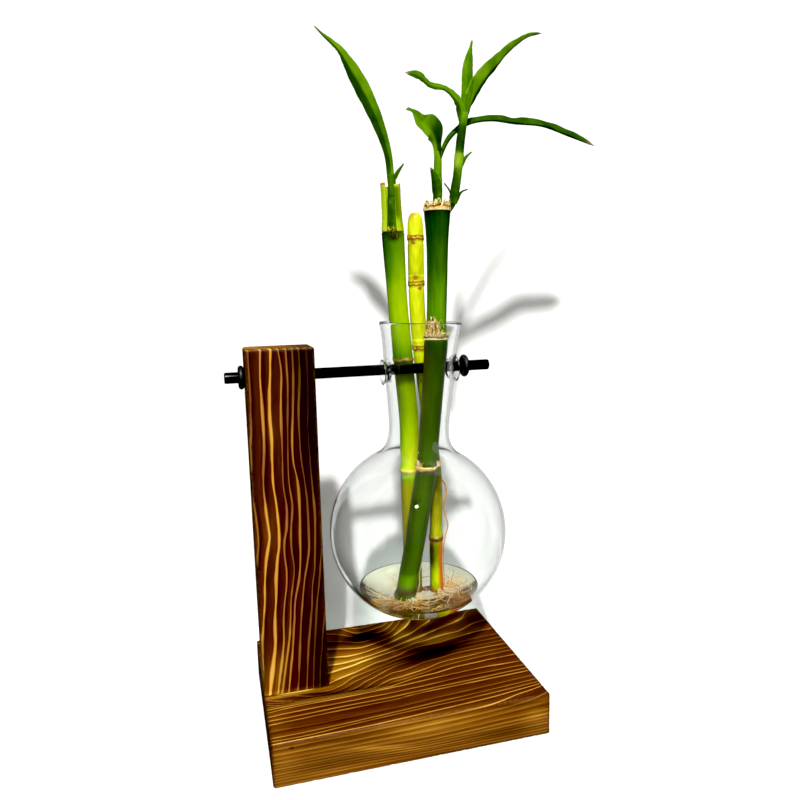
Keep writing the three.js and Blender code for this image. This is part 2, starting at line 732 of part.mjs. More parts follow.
const stand = new THREE.Group();
stand.add(
  piece('base_board', geometryOf(baseSolid()), wood),
  piece('post', geometryOf(postSolid()), wood),
  piece('rod', rodGeometry(), blackPaint, [ROD_LEFT, 0, ROD_Z]),
  piece('rubber_ring_left', ringGeometry(), blackRubber, [RING_LEFT_X, 0, ROD_Z]),
  piece('rubber_ring_right', ringGeometry(), blackRubber, [RING_RIGHT_X, 0, ROD_Z]),
);
screwPlaces().forEach((y, i) => {
  stand.add(piece(i === 0 ? 'screw_front' : 'screw_back', drivenScrew(), screwSteel, [POST_X, y, 0]));
});

// Everything that hangs from the rod

const leftCentre = centreLine(LEFT_CANE.points);
const frontCentre = centreLine(FRONT_CANE.points);
const leftTop = LEFT_CANE.points[LEFT_CANE.points.length - 1][2];
const frontTop = FRONT_CANE.points[FRONT_CANE.points.length - 1][2];

// A wrap lies on a cane just above one of its scars
function wrapOn(cane, low, heights, seed) {
  const radius = caneRadius(cane);
  const widest = Math.max(...[0, 1, 2, 4, 6].map((rise) => radius(low + rise)));
  return tornRing({
    centre: centreLine(cane.points),
    inner: widest + GAP,
    wall: SHEATH_WALL,
    low,
    heights,
    seed,
  });
}

function rightShootSolid() {
  const room = FRONT_CANE.radii.map(([z, radius]) => [z, radius + GAP]);
  const canePoints = FRONT_CANE.points.map(([x, y, z]) => [x, y, z]);
  canePoints[canePoints.length - 1][2] += GAP;
  return shootSolid(RIGHT_SHOOT).subtract(solidOf(stalkGeometry(canePoints, room, 24)));
}

// The frayed collar on the front cane's cut top leaves room for both shoots that grow through it
function topCollarSolid() {
  const torn = tornRing({
    centre: frontCentre,
    inner: 2.05 + 2 * GAP,
    wall: 3.9,
    low: frontTop + GAP,
    heights: tongue(2.3, 0.9, Math.PI, 0.9),
    seed: 5,
  });
  const fattened = RIGHT_SHOOT.stalkRadii.map(([z, radius]) => [z, radius + GAP]);
  const room = solidOf(stalkGeometry(RIGHT_SHOOT.stalk, fattened));
  const leaves = RIGHT_SHOOT_LOW_LEAVES.reduce((solid, blade) => {
    const widths = blade.widths.map(([share, half]) => [share, half + 2 * GAP]);
    return solid.add(solidOf(bladeGeometry({ ...blade, widths })));
  }, room);
  return solidOf(torn).subtract(leaves);
}

// The pale sheath round the left shoot is split open towards the front
function splitSheathSolid() {
  const inner = 3.9;
  const torn = tornRing({
    centre: leftCentre,
    inner,
    wall: SHEATH_WALL,
    low: leftTop + GAP,
    heights: () => 21.5,
    seed: 11,
    sides: 32,
    tear: 0.03,
  });
  const opening = new THREE.BoxGeometry(4.6, 12, 60).translate(8.7, 9.4 - 6, leftTop + 20);
  return solidOf(torn).subtract(solidOf(opening));
}

const hanging = new THREE.Group();
hanging.add(
  piece('glass_vase', geometryOf(vaseSolid()), clearGlass),
  piece('water', geometryOf(waterSolid()), clearWater),
  piece('cane_left', caneGeometry(LEFT_CANE), limeCane),
  piece('cane_middle', caneGeometry(MIDDLE_CANE), yellowCane),
  piece('cane_front', caneGeometry(FRONT_CANE), darkCane),
  piece('leafy_shoot_left', geometryOf(shootSolid(LEFT_SHOOT)), leafGreen),
  piece('leafy_shoot_front', geometryOf(shootSolid(FRONT_SHOOT)), leafGreen),
  piece('leafy_shoot_right', geometryOf(rightShootSolid()), leafGreen),
  piece('sheath_left', geometryOf(splitSheathSolid()), paleSheath),
  piece('dry_collar_top', geometryOf(topCollarSolid()), drySheath),
  piece('dry_wrap_middle', wrapOn(FRONT_CANE, 183.2, tongue(1.2, 6.2, -2.4, 0.5), 21), drySheath),
  piece('dry_wrap_low', wrapOn(FRONT_CANE, 121.3, tongue(1, 1.6, -1, 0.5), 31), drySheath),
  piece('roots_left', geometryOf(rootsSolid(LEFT_CANE, LEFT_ROOTS, 8, 3)), rootOrange),
  piece('roots_front', geometryOf(rootsSolid(FRONT_CANE, FRONT_ROOTS, 9, 7)), rootOrange),
  piece('roots_middle', geometryOf(
    rootsSolid(MIDDLE_CANE, MIDDLE_ROOTS, 8, 13).add(solidOf(aerialRootGeometry())),
  ), rootOrange),
);

const luckyBamboo = new THREE.Group();
luckyBamboo.add(stand, hanging);

export default luckyBamboo;
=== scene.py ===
"""Lucky bamboo in a glass bulb vase that hangs by its neck from a rod on a torched pine stand."""
import bpy
import numpy as np
from mathutils import Matrix, Vector


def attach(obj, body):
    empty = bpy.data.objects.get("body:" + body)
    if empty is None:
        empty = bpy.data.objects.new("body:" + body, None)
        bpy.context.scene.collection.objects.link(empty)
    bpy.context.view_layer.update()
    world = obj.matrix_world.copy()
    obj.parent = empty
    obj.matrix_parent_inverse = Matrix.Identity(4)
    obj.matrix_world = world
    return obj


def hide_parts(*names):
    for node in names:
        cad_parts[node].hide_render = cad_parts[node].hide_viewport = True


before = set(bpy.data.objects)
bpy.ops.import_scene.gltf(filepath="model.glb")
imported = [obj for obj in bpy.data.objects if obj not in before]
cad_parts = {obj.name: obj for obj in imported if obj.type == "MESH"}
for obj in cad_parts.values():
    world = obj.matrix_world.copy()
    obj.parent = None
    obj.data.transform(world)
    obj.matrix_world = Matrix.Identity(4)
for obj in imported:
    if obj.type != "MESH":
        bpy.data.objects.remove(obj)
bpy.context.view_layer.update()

MM = 0.001
FIT_GAP = 0.3

# Sizes shared with the solids, in millimetres
BOARD = 20
BASE_LENGTH = 126
BASE_DEPTH = 92
POST_WIDTH = 30
POST_TOP = 180
POST_X = -(BASE_LENGTH - POST_WIDTH) / 2
SCREW_SPACING = 9
SCREW_HEAD_RADIUS = 3.6
ROD_RADIUS = 2.5
ROD_Z = 167.2
ROD_LEFT = -71.8
ROD_RIGHT = 52
RING_SECTION = 1.25
RING_LEFT_X = -BASE_LENGTH / 2 - RING_SECTION - FIT_GAP
RING_RIGHT_X = 39.7
NECK_X = 17.55
VASE_LEAN = np.radians(2)
BULB_DROP = 78.67
BULB_RADIUS = 42.4
GLASS_WALL = 1.4
WAIST_DROP = 27.3
WAIST_RADIUS = 14.25
NECK_RADIUS = 16.7
RIM_RISE = 21.5
RIM_RADIUS = 19.3
EYE_RADIUS = 3.9
EYE_Z = ROD_Z - (EYE_RADIUS - ROD_RADIUS - FIT_GAP)
BULB_X = NECK_X - BULB_DROP * np.sin(VASE_LEAN)
BULB_Z = ROD_Z - BULB_DROP * np.cos(VASE_LEAN)
BULB_BORE = BULB_RADIUS - GLASS_WALL
WATER_Z = 60

# Finer sizes of the dressed pieces
WATER_CLIMB = 0.05
WATER_INTO_GLASS = 0.06
ROD_EDGE = 0.7
RIM_ROUND = 0.7
EYE_OUT = 15.75
ALMOST_CLOSED = 0.01


# Numbers and curves

def smooth_through(stations):
    """Value at a place, smooth through [place, value] stations and straight beyond them."""
    places, values = np.array(stations, float).T
    every = np.arange(len(places))
    before = np.maximum(every - 1, 0)
    after = np.minimum(every + 1, len(places) - 1)
    slopes = (values[after] - values[before]) / (places[after] - places[before])

    def value(at):
        at = np.asarray(at, float)
        i = np.clip(np.searchsorted(places, at, side="right") - 1, 0, len(places) - 2)
        span = places[i + 1] - places[i]
        t = np.clip((at - places[i]) / span, 0, 1)
        rise = values[i + 1] - values[i]
        start = slopes[i] * span
        end = slopes[i + 1] * span
        curve = values[i] + start * t + (3 * rise - 2 * start - end) * t ** 2
        curve = curve + (start + end - 2 * rise) * t ** 3
        low = slopes[0] * np.minimum(at - places[0], 0)
        high = slopes[-1] * np.maximum(at - places[-1], 0)
        return curve + low + high
    return value


def wobble(seed, wavelength, *coordinates):
    """Smooth seeded variation from about -1 to 1 along the coordinates, in their own units."""
    rng = np.random.default_rng(seed)
    total = 0
    for step in range(5):
        turns = rng.normal(size=len(coordinates)) * 2 * np.pi / (wavelength * 0.7 ** step)
        phase = rng.uniform(0, 2 * np.pi)
        angle = sum(turn * np.asarray(c, float) for turn, c in zip(turns, coordinates)) + phase
        total = total + np.sin(angle) * 0.75 ** step
    return total / 2.4


def step_up(value, low, high):
    t = np.clip((np.asarray(value, float) - low) / (high - low), 0, 1)
    return t * t * (3 - 2 * t)


def hump(value, centre, width):
    return np.exp(-((np.asarray(value, float) - centre) / width) ** 2)


def curve_through(points, count):
    """Points at even spacing, and the way they run, along a centripetal curve through points."""
    p = np.array(points, float)
    p = np.vstack([2 * p[0] - p[1], p, 2 * p[-1] - p[-2]])
    fine = []
    for i in range(1, len(p) - 2):
        a, b, c, d = p[i - 1:i + 3]
        knots = [max(np.linalg.norm(q - r) ** 0.5, 1e-3) for q, r in ((a, b), (b, c), (c, d))]
        before = (b - a) / knots[0] - (c - a) / (knots[0] + knots[1]) + (c - b) / knots[1]
        after = (c - b) / knots[1] - (d - b) / (knots[1] + knots[2]) + (d - c) / knots[2]
        before, after = before * knots[1], after * knots[1]
        t = np.linspace(0, 1, 40, endpoint=False)[:, None]
        bend = (-3 * b + 3 * c - 2 * before - after) * t ** 2
        fine.append(b + before * t + bend + (2 * b - 2 * c + before + after) * t ** 3)
    fine = np.vstack(fine + [p[-2:-1]])
    run = np.r_[0, np.cumsum(np.linalg.norm(np.diff(fine, axis=0), axis=1))]
    places = np.linspace(0, run[-1], count)
    line = np.stack([np.interp(places, run, fine[:, k]) for k in range(3)], 1)
    way = np.gradient(line, axis=0)
    return line, way / np.linalg.norm(way, axis=1)[:, None]


def unit(vectors):
    return vectors / np.maximum(np.linalg.norm(vectors, axis=-1, keepdims=True), 1e-9)


# Mesh making, in millimetres until a piece is finished

def grid_faces(rows, columns, closed=False, start=0):
    wide = columns if closed else columns - 1
    r, c = np.meshgrid(np.arange(rows - 1), np.arange(wide), indexing="ij")
    beside = (c + 1) % columns
    corners = [r * columns + c, r * columns + beside, (r + 1) * columns + beside, (r + 1) * columns + c]
    return (np.stack(corners, -1).reshape(-1, 4) + start).tolist()


def new_object(name, points, faces):
    """An object in the scene, its mesh turned from millimetres to metres."""
    mesh = bpy.data.meshes.new(name)
    mesh.from_pydata((np.asarray(points) * MM).tolist(), [], faces)
    made = bpy.data.objects.new(name, mesh)
    bpy.context.scene.collection.objects.link(made)
    return made


def dress(piece, material, body, slot, *replaced, **masks):
    """Gives a piece its vertex masks, its material, the body it rides on and the nodes that it replaces."""
    mesh = piece.data
    for mask, values in masks.items():
        mesh.attributes.new(mask, "FLOAT", "POINT").data.foreach_set("value", values)
    mesh.polygons.foreach_set("use_smooth", [True] * len(mesh.polygons))
    mesh.materials.clear()
    mesh.materials.append(material)
    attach(piece, body)
    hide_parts(*replaced)


def sheet_faces(rows, columns, closed=False):
    """Faces of a thin skin: a grid, the same grid on its other side, and the edges between them."""
    count = rows * columns
    last = count - columns
    steps = [(j, (j + 1) % columns) for j in range(columns if closed else columns - 1)]
    edges = [(last + j, last + k) for j, k in steps] + [(k, j) for j, k in steps]
    if not closed:
        edges += [(i, i + columns) for i in range(0, last, columns)]
        edges += [(i + columns, i) for i in range(columns - 1, last, columns)]
    return (grid_faces(rows, columns,
                       closed) + [face[::-1] for face in grid_faces(rows, columns, closed, count)]
            + [[a, b, b + count, a + count] for a, b in edges])


class Shape:
    """Vertices, faces and named vertex masks, gathered from several parts."""

    def __init__(self, points=(), faces=()):
        self.points = np.zeros((0, 3))
        self.faces = []
        self.masks = {}
        self.add(points, faces)

    def add(self, points, faces, **masks):
        points = np.asarray(points, float).reshape(-1, 3)
        start = len(self.points)
        self.points = np.vstack([self.points, points])
        self.faces += [[corner + start for corner in face] for face in faces]
        for name in set(self.masks) | set(masks):
            old = self.masks.get(name, np.zeros(start))
            new = np.broadcast_to(np.asarray(masks.get(name, 0.0), float).reshape(-1), (len(points),))
            self.masks[name] = np.r_[old, new]

    def finish(self, name, material, body, slot, *replaced):
        piece = new_object(name, self.points, self.faces)
        piece.data.validate()
        dress(piece, material, body, slot, *replaced, **self.masks)
        return piece


def with_ends(points, faces, sides):
    """Closes both ends of a run of rings with flat faces."""
    last = len(points) - sides
    return points, faces + [list(range(sides))[::-1], list(range(last, last + sides))]


def turned(profile, sides, ends=False):
    """A profile of [radius, height] turned round the Z axis."""
    profile = np.asarray(profile, float)
    angle = np.linspace(0, 2 * np.pi, sides, endpoint=False)
    radius, height = profile[:, :1], profile[:, 1:]
    points = np.stack([radius * np.cos(angle), radius * np.sin(angle), height + 0 * angle], -1)
    points = points.reshape(-1, 3)
    faces = grid_faces(len(profile), sides, True)
    return with_ends(points, faces, sides) if ends else (points, faces)


def along_x(points, x, z=ROD_Z):
    """Lays what was turned round Z along the X axis, at the rod's height or another."""
    return points @ LAID_ALONG_X.T + np.array([x, 0, z])


def tube(line, radii, sides=10, flat=1.0):
    """A round bar along a line, its two ends closed."""
    line = np.asarray(line, float)
    way = unit(np.gradient(line, axis=0))
    across = np.cross(way[0], ANY_WAY)
    normals = []
    for direction in way:
        across = unit(across - direction * (across @ direction))
        normals.append(across)
    normals = np.array(normals)
    third = np.cross(way, normals)
    angle = np.linspace(0, 2 * np.pi, sides, endpoint=False)[None, :, None]
    radii = np.broadcast_to(np.asarray(radii, float).reshape(-1), (len(line),))[:, None, None]
    ring = normals[:, None] * np.cos(angle) + third[:, None] * np.sin(angle) * flat
    return with_ends((line[:, None] + ring * radii).reshape(-1, 3), grid_faces(len(line), sides, True),
                     sides)


def cut(piece, cutter, operation="DIFFERENCE"):
    """Cuts a closed helper object out of a piece or joins it on, then removes the helper."""
    change = piece.modifiers.new("cut", "BOOLEAN")
    change.operation = operation
    change.solver = "EXACT"
    change.object = cutter
    graph = bpy.context.evaluated_depsgraph_get()
    made = bpy.data.meshes.new_from_object(piece.evaluated_get(graph))
    piece.modifiers.clear()
    old = piece.data
    piece.data = made
    bpy.data.meshes.remove(old)
    bpy.data.objects.remove(cutter)


def weld(piece):
    piece.modifiers.new("weld", "WELD").merge_threshold = WELD_GAP


def smooth_by_angle(piece, degrees):
    with bpy.context.temp_override(object=piece, active_object=piece, selected_objects=[piece],
                                   selected_editable_objects=[piece]):
        bpy.ops.object.shade_smooth_by_angle(angle=np.radians(degrees))


ROUND = (0, 2 * np.pi)
LAID_ALONG_X = np.array(Matrix.Rotation(np.pi / 2, 3, "Y"))
# a direction that no line here runs along
ANY_WAY = [0.31, 0.52, 0.79]
WELD_GAP = 1e-6


# Materials

def linear(colour):
    parts = [int(colour[i:i + 2], 16) / 255 for i in (1, 3, 5)]
    return [c / 12.92 if c <= 0.04045 else ((c + 0.055) / 1.055) ** 2.4 for c in parts] + [1.0]


def node_adder(tree):
    """Gives the function that adds a node to this tree and returns one of its outputs.

    Inputs are colours, numbers or links, listed in the node's own order or under their names.
    """
    def add(kind, inputs=(), stops=(), out=0, **settings):
        node = tree.nodes.new("ShaderNode" + kind)
        for name, value in settings.items():
            setattr(node, name, value)
        for name, value in inputs.items() if isinstance(inputs, dict) else enumerate(inputs):
            if isinstance(value, bpy.types.NodeSocket):
                tree.links.new(value, node.inputs[name])
            else:
                node.inputs[name].default_value = linear(value) if isinstance(value, str) else value
        for i, (position, colour) in enumerate(stops):
            stop = node.color_ramp.elements[i] if i < 2 else node.color_ramp.elements.new(position)
            stop.position = position
            stop.color = linear(colour)
        return node.outputs[out] if node.outputs else None
    return add


def new_material(name, *facts):
    """A material, the function that adds its nodes, and what it reads: the place, or a vertex mask."""
    material = bpy.data.materials.new(name)
    material.use_nodes = True
    material.node_tree.nodes.clear()
    add = node_adder(material.node_tree)
    reads = [add("TexCoord", out="Object") if fact == "place"
             else add("Attribute", out="Fac", attribute_name=fact) for fact in facts]
    return material, add, *reads


def waxy_cane(name, stops, scar_stops, aged_colour):
    """Living cane skin: a waxy rind with a soft sheen, lengthwise streaks and small corky specks."""
    material, add, place, tone, scar, aged, stain = new_material(
        name, "place", "tone", "scar", "aged", "stain")
    # streaks about 0.6 mm wide and 25 mm long
    long_way = add("Mapping", {"Vector": place, "Scale": (1600, 1600, 40)})
    streaks = add("TexNoise", {"Vector": long_way, "Scale": 1.0, "Detail": 3.0})
    clouds = add("TexNoise", {"Vector": place, "Scale": 120.0, "Detail": 4.0})
    mixed = add("Math", [streaks, clouds], operation="ADD")
    offset = add("MapRange", [mixed, 0.6, 1.4, -0.05, 0.05])
    shade = add("Math", [tone, offset], operation="ADD")
    skin = add("ValToRGB", [shade], stops)
    # specks 0.3 mm across, one every few millimetres
    spots = add("TexVoronoi", {"Vector": place, "Scale": 330.0})
    speck = add("MapRange", [spots, 0.04, 0.11, 0.55, 0.0])
    skin = add("MixRGB", [aged, skin, aged_colour])
    specked = add("MixRGB", [speck, skin, "#182004"])
    rough = add("TexNoise", {"Vector": place, "Scale": 900.0, "Detail": 5.0})
    corky = add("ValToRGB", [rough], scar_stops)
    colour = add("MixRGB", [scar, specked, corky])
    blotch = add("MapRange", [mixed, 0.75, 1.25, 0.6, 1.25])
    stain = add("Math", [stain, blotch], operation="MULTIPLY", use_clamp=True)
    # dark brown stains, and painted shadow where a cane's looks put it
    colour = add("MixRGB", [stain, colour, "#1c1002"])
    dull = add("MapRange", [scar, 0.0, 1.0, 0.3, 0.75])
    relief = add("MixRGB", [scar, streaks, rough])
    bump = add("Bump", {"Height": relief, "Strength": 0.16, "Distance": 0.0003})
    add("OutputMaterial", [add("BsdfPrincipled", {
        "Base Color": colour, "Roughness": dull, "Normal": bump, "IOR": 1.4, "Specular IOR Level": 0.3,
        "Coat Weight": 0.06, "Coat Roughness": 0.1,
    })])
    return material


def leaf_skin():
    """Living leaf: a satin blade with fine lengthwise veins, paler under, dry brown at the tip."""
    material, add, place, tone, across, dry = new_material("leaf_blade", "place", "tone", "across", "dry")
    # veins: eleven to each half of the blade
    turns = add("Math", [across, 70.0], operation="MULTIPLY")
    veins = add("Math", [turns], operation="SINE")
    clouds = add("TexNoise", {"Vector": place, "Scale": 140.0, "Detail": 4.0})
    vein_shade = add("Math", [veins, 0.035], operation="MULTIPLY")
    cloud_shade = add("MapRange", [clouds, 0.3, 0.7, -0.1, 0.1])
    shade = add("Math", [tone, vein_shade], operation="ADD")
    shade = add("Math", [shade, cloud_shade], operation="ADD")
    green = add("ValToRGB", [shade], [
        (0.0, "#0e2402"), (1.0, "#b0c83c"), (0.3, "#2c5204"), (0.55, "#54840c"), (0.8, "#84aa24"),
    ])
    fleck = add("TexNoise", {"Vector": place, "Scale": 700.0, "Detail": 3.0})
    husk = add("ValToRGB", [fleck], [(0.3, "#3a2c18"), (0.7, "#b09a70")])
    colour = add("MixRGB", [dry, green, husk])
    bump = add("Bump", {"Height": veins, "Strength": 0.05, "Distance": 0.0002})
    rough = add("MapRange", [clouds, 0.0, 1.0, 0.4, 0.55])
    add("OutputMaterial", [add("BsdfPrincipled", {
        "Base Color": colour, "Roughness": rough, "Normal": bump, "IOR": 1.42, "Specular IOR Level": 0.1,
    })])
    return material


def dry_husk(name, stops, roughness=0.75, streaky=0.2):
    """Dead leaf sheath: papery fibres that run up the stem, matt, from dark brown to cream."""
    material, add, place, tone = new_material(name, "place", "tone")
    # fibres 0.25 mm wide
    long_way = add("Mapping", {"Vector": place, "Scale": (4000, 4000, 250)})
    fibres = add("TexNoise", {"Vector": long_way, "Scale": 1.0, "Detail": 3.0})
    offset = add("MapRange", [fibres, 0.3, 0.7, -streaky, streaky])
    shade = add("Math", [tone, offset], operation="ADD")
    colour = add("ValToRGB", [shade], stops)
    bump = add("Bump", {"Height": fibres, "Strength": 0.5, "Distance": 0.0003})
    add("OutputMaterial", [add("BsdfPrincipled", {
        "Base Color": colour, "Roughness": roughness, "Normal": bump, "IOR": 1.4,
        "Specular IOR Level": 0.15,
    })])
    return material


def wet_root():
    """Water roots: smooth, wet and a little glassy, orange-brown with pale growing ends."""
    material, add, place, tone = new_material("wet_root", "place", "tone")
    clouds = add("TexNoise", {"Vector": place, "Scale": 300.0, "Detail": 3.0})
    offset = add("MapRange", [clouds, 0.3, 0.7, -0.14, 0.14])
    shade = add("Math", [tone, offset], operation="ADD")
    colour = add("ValToRGB", [shade], [
        (0.0, "#3a1a06"), (1.0, "#fbf2d2"), (0.3, "#8c4408"), (0.55, "#d08222"), (0.8, "#f2ca76"),
    ])
    bump = add("Bump", {"Height": clouds, "Strength": 0.3, "Distance": 0.0002})
    add("OutputMaterial", [add("BsdfPrincipled", {
        "Base Color": colour, "Roughness": 0.3, "Normal": bump, "IOR": 1.4, "Coat Weight": 0.6,
        "Coat Roughness": 0.05,
    })])
    return material


def torched_pine(name, along_axis):
    """Pine scorched with a torch, brushed and varnished: pale growth lines stand out of burnt wood."""
    material, add, place, ring, half, bright, gold, burnt, worn = new_material(
        name, "place", "ring", "half", "bright", "gold", "burnt", "worn")
    axes = add("SeparateXYZ", [place]).node.outputs
    across = add("Math", [axes[2 if along_axis == 0 else 0], axes[1]], operation="ADD")
    # wood fibres: 0.3 mm wide and about 12 mm long, bent as the growth lines are
    along = add("Math", [axes[along_axis], 90.0], operation="MULTIPLY")
    layered = add("Math", [ring, 5.0], operation="MULTIPLY")
    deep = add("Math", [across, 260.0], operation="MULTIPLY")
    grain = add("CombineXYZ", [along, layered, deep])
    waver = add("TexNoise", {"Vector": grain, "Scale": 0.45, "Detail": 2.0})
    shift = add("MapRange", [waver, 0.0, 1.0, -0.16, 0.16])
    rings = add("Math", [ring, shift], operation="ADD")
    share = add("Math", [rings], operation="FRACT")
    moved = add("Math", [rings, 0.5], operation="ADD")
    moved = add("Math", [moved], operation="FRACT")
    away = add("Math", [moved, 0.5], operation="SUBTRACT")
    away = add("Math", [away], operation="ABSOLUTE")
    ratio = add("Math", [away, half], operation="DIVIDE")
    line = add("MapRange", [ratio, 0.45, 1.35, 1.0, 0.0], interpolation_type="SMOOTHSTEP")
    fibres = add("TexNoise", {"Vector": grain, "Scale": 1.3, "Detail": 5.0, "Roughness": 0.7})
    patches = add("TexNoise", {"Vector": grain, "Scale": 0.22, "Detail": 3.0})
    strength = add("MapRange", [patches, 0.3, 0.6, 0.55, 1.1])
    line = add("Math", [line, strength], operation="MULTIPLY")
    line = add("Math", [line, bright], operation="MULTIPLY", use_clamp=True)
    smoke = add("MapRange", [patches, 0.3, 0.7, -0.14, 0.14])
    gold_part = add("Math", [gold, smoke], operation="ADD", use_clamp=True)
    ground = add("ValToRGB", [gold_part], [
        (0.0, "#3e0803"), (1.0, "#b4761a"), (0.3, "#622a08"), (0.55, "#7c440a"), (0.8, "#985c12"),
    ])
    # the soft side of every growth line took more of the flame
    shaded = add("ValToRGB", [share], [
        (0.0, "#d8d8d8"), (1.0, "#ffffff"), (0.12, "#8c8c8c"), (0.3, "#a8a8a8"), (0.7, "#e8e8e8"),
    ])
    fibre_shade = add("MapRange", [fibres, 0.3, 0.7, 0.7, 1.3])
    ground = add("MixRGB", [0.8, ground, shaded], blend_type="MULTIPLY")
    ground = add("VectorMath", {0: ground, "Scale": fibre_shade}, operation="SCALE")
    pale = add("ValToRGB", [gold_part], [
        (0.0, "#c07840"), (1.0, "#ffdc66"), (0.16, "#d49434"), (0.3, "#d89a38"), (0.6, "#e0aa4a"),
        (0.8, "#f0c050"),
    ])
    colour = add("MixRGB", [line, ground, pale])
    soot = add("MapRange", [fibres, 0.3, 0.7, 0.85, 1.1])
    # charred patches; on the base's top this also carries a painted shadow of the bulb
    black = add("Math", [burnt, soot], operation="MULTIPLY", use_clamp=True)
    colour = add("MixRGB", [black, colour, "#140303"])
    chips = add("TexNoise", {"Vector": place, "Scale": 700.0, "Detail": 5.0})
    chip_part = add("MapRange", [chips, 0.4, 0.62, 0.0, 1.0])
    wear = add("Math", [worn, chip_part], operation="MULTIPLY", use_clamp=True)
    colour = add("MixRGB", [wear, colour, "#a87c30"])
    ridge = add("Math", [fibres, line], operation="ADD")
    bump = add("Bump", {"Height": ridge, "Strength": 0.45, "Distance": 0.00025})
    rough = add("MapRange", [fibres, 0.0, 1.0, 0.36, 0.6])
    add("OutputMaterial", [add("BsdfPrincipled", {
        "Base Color": colour, "Roughness": rough, "Normal": bump, "IOR": 1.45, "Specular IOR Level": 0.25,
    })])
    return material


def see_through(name, colour, index, shadow, roughness=0.0):
    """Clear glass or water. A lamp's light goes straight through, so what is inside is lit."""
    material, add = new_material(name)
    body = add("BsdfPrincipled", {
        "Base Color": colour, "Roughness": roughness, "IOR": index, "Transmission Weight": 1.0,
    })
    # the shadow is darkest where the light grazes the wall
    grazed = add("LayerWeight", {"Blend": 0.25}, out="Facing")
    tint = add("MixRGB", [grazed, shadow, "#5a5e5c"])
    pane = add("BsdfTransparent", {"Color": tint})
    to_lamp = add("LightPath", out="Is Shadow Ray")
    add("OutputMaterial", [add("MixShader", [to_lamp, body, pane])])
    return material


def coated(name, low, high, roughness, spread, scale, metallic=0.0, bump_depth=0.0001):
    """A plain finish whose colour and gloss vary slightly over the surface."""
    material, add, place = new_material(name, "place")
    clouds = add("TexNoise", {"Vector": place, "Scale": scale, "Detail": 5.0})
    colour = add("ValToRGB", [clouds], [(0.35, low), (0.7, high)])
    rough = add("MapRange", [clouds, 0.0, 1.0, roughness - spread, roughness + spread])
    bump = add("Bump", {"Height": clouds, "Strength": 0.3, "Distance": bump_depth})
    add("OutputMaterial", [add("BsdfPrincipled", {
        "Base Color": colour, "Roughness": rough, "Normal": bump, "Metallic": metallic,
    })])
    return material


left_skin = waxy_cane("cane_rind_lime", [
    (0.0, "#122e01"), (1.0, "#c4cc18"), (0.2, "#2c5a01"), (0.4, "#4c8002"), (0.6, "#7ea603"),
    (0.78, "#a2c604"),
    (0.9, "#b0ca0c"),
], [(0.3, "#5a2c08"), (0.7, "#e0a850")], "#7a7008")
middle_skin = waxy_cane("cane_rind_yellow", [
    (0.0, "#182804"), (1.0, "#e4ee24"), (0.25, "#465a05"), (0.5, "#869a08"), (0.72, "#b8c60c"),
    (0.88, "#d4dc1c"),
], [(0.3, "#5e2004"), (0.8, "#e0b468"), (0.6, "#b06820")], "#b8580e")
front_skin = waxy_cane("cane_rind_dark", [
    (0.0, "#061e01"), (1.0, "#84a80c"), (0.2, "#103a02"), (0.4, "#264e03"), (0.6, "#3e6a05"),
    (0.8, "#568a06"),
], [(0.3, "#4a260c"), (0.7, "#dcac68")], "#57480a")
leaf = leaf_skin()
husk = dry_husk("dry_sheath_husk", [
    (0.0, "#241002"), (1.0, "#fff2b4"), (0.25, "#784410"), (0.5, "#be8a3a"), (0.75, "#ecca7c")])
pale_husk = dry_husk("pale_sheath_skin", [
    (0.0, "#2c3a06"), (1.0, "#b07830"), (0.3, "#6c8c0c"), (0.55, "#a8c818"), (0.75, "#c8d430"),
    (0.9, "#dcb060"),
], roughness=0.45, streaky=0.07)
root_skin = wet_root()
base_pine = torched_pine("torched_pine_base", 0)
post_pine = torched_pine("torched_pine_post", 2)
glass = see_through("blown_soda_glass", "#fbfdfc", index=1.5, shadow="#e6ebe9")
water = see_through("still_water", "#fcf6e6", index=1.333, shadow="#f4f0e2")
black_paint = coated("gloss_black_enamel", "#030303", "#070707", roughness=0.18, spread=0.04, scale=90.0)
black_rubber = coated("moulded_black_rubber", "#0b0b0b", "#171717", roughness=0.45, spread=0.08,
                      scale=500.0)
zinc = coated("yellow_zinc_plating", "#a88c48", "#d2bc74", roughness=0.32, spread=0.06, scale=300.0,
              metallic=1.0)


# Torched pine boards

BOARD_STEP = 0.95


def board_mesh(size, centre, rounding, chipping, seed):
    """A board as a fine grid whose edges are rounded and slightly chipped."""
    half = np.array(size) / 2
    near = np.array([0, 0.25, 0.55, 1.0]) * rounding

    def lines(reach):
        count = max(2, int(round((2 * reach - 2 * rounding) / BOARD_STEP)))
        middle = np.linspace(-reach + rounding, reach - rounding, count + 1)
        return np.unique(np.round(np.r_[-reach + near, middle, reach - near], 5))

    ticks = [lines(reach) for reach in half]
    shape = Shape()
    for axis in range(3):
        u, v = [(1, 2), (2, 0), (0, 1)][axis]
        for side in (-1, 1):
            b, a = np.meshgrid(ticks[v], ticks[u])
            points = np.zeros(a.shape + (3,))
            points[..., u] = a
            points[..., v] = b
            points[..., axis] = side * half[axis]
            faces = np.array(grid_faces(*a.shape))
            shape.add(points, (faces if side > 0 else faces[:, ::-1]).tolist())
    p = shape.points
    inner = np.clip(p, -half + rounding, half - rounding)
    out = p - inner
    edge = (np.abs(out) > 1e-6).sum(1) > 1
    p = inner + unit(out) * rounding
    nick = chipping * np.clip(wobble(seed, 7, *p.T) + wobble(seed + 1, 2.5, *p.T) * 0.6 - 0.25, 0, 1)
    p = p - unit(out) * (nick * edge)[:, None]
    shape.points = p + np.array(centre)
    return shape


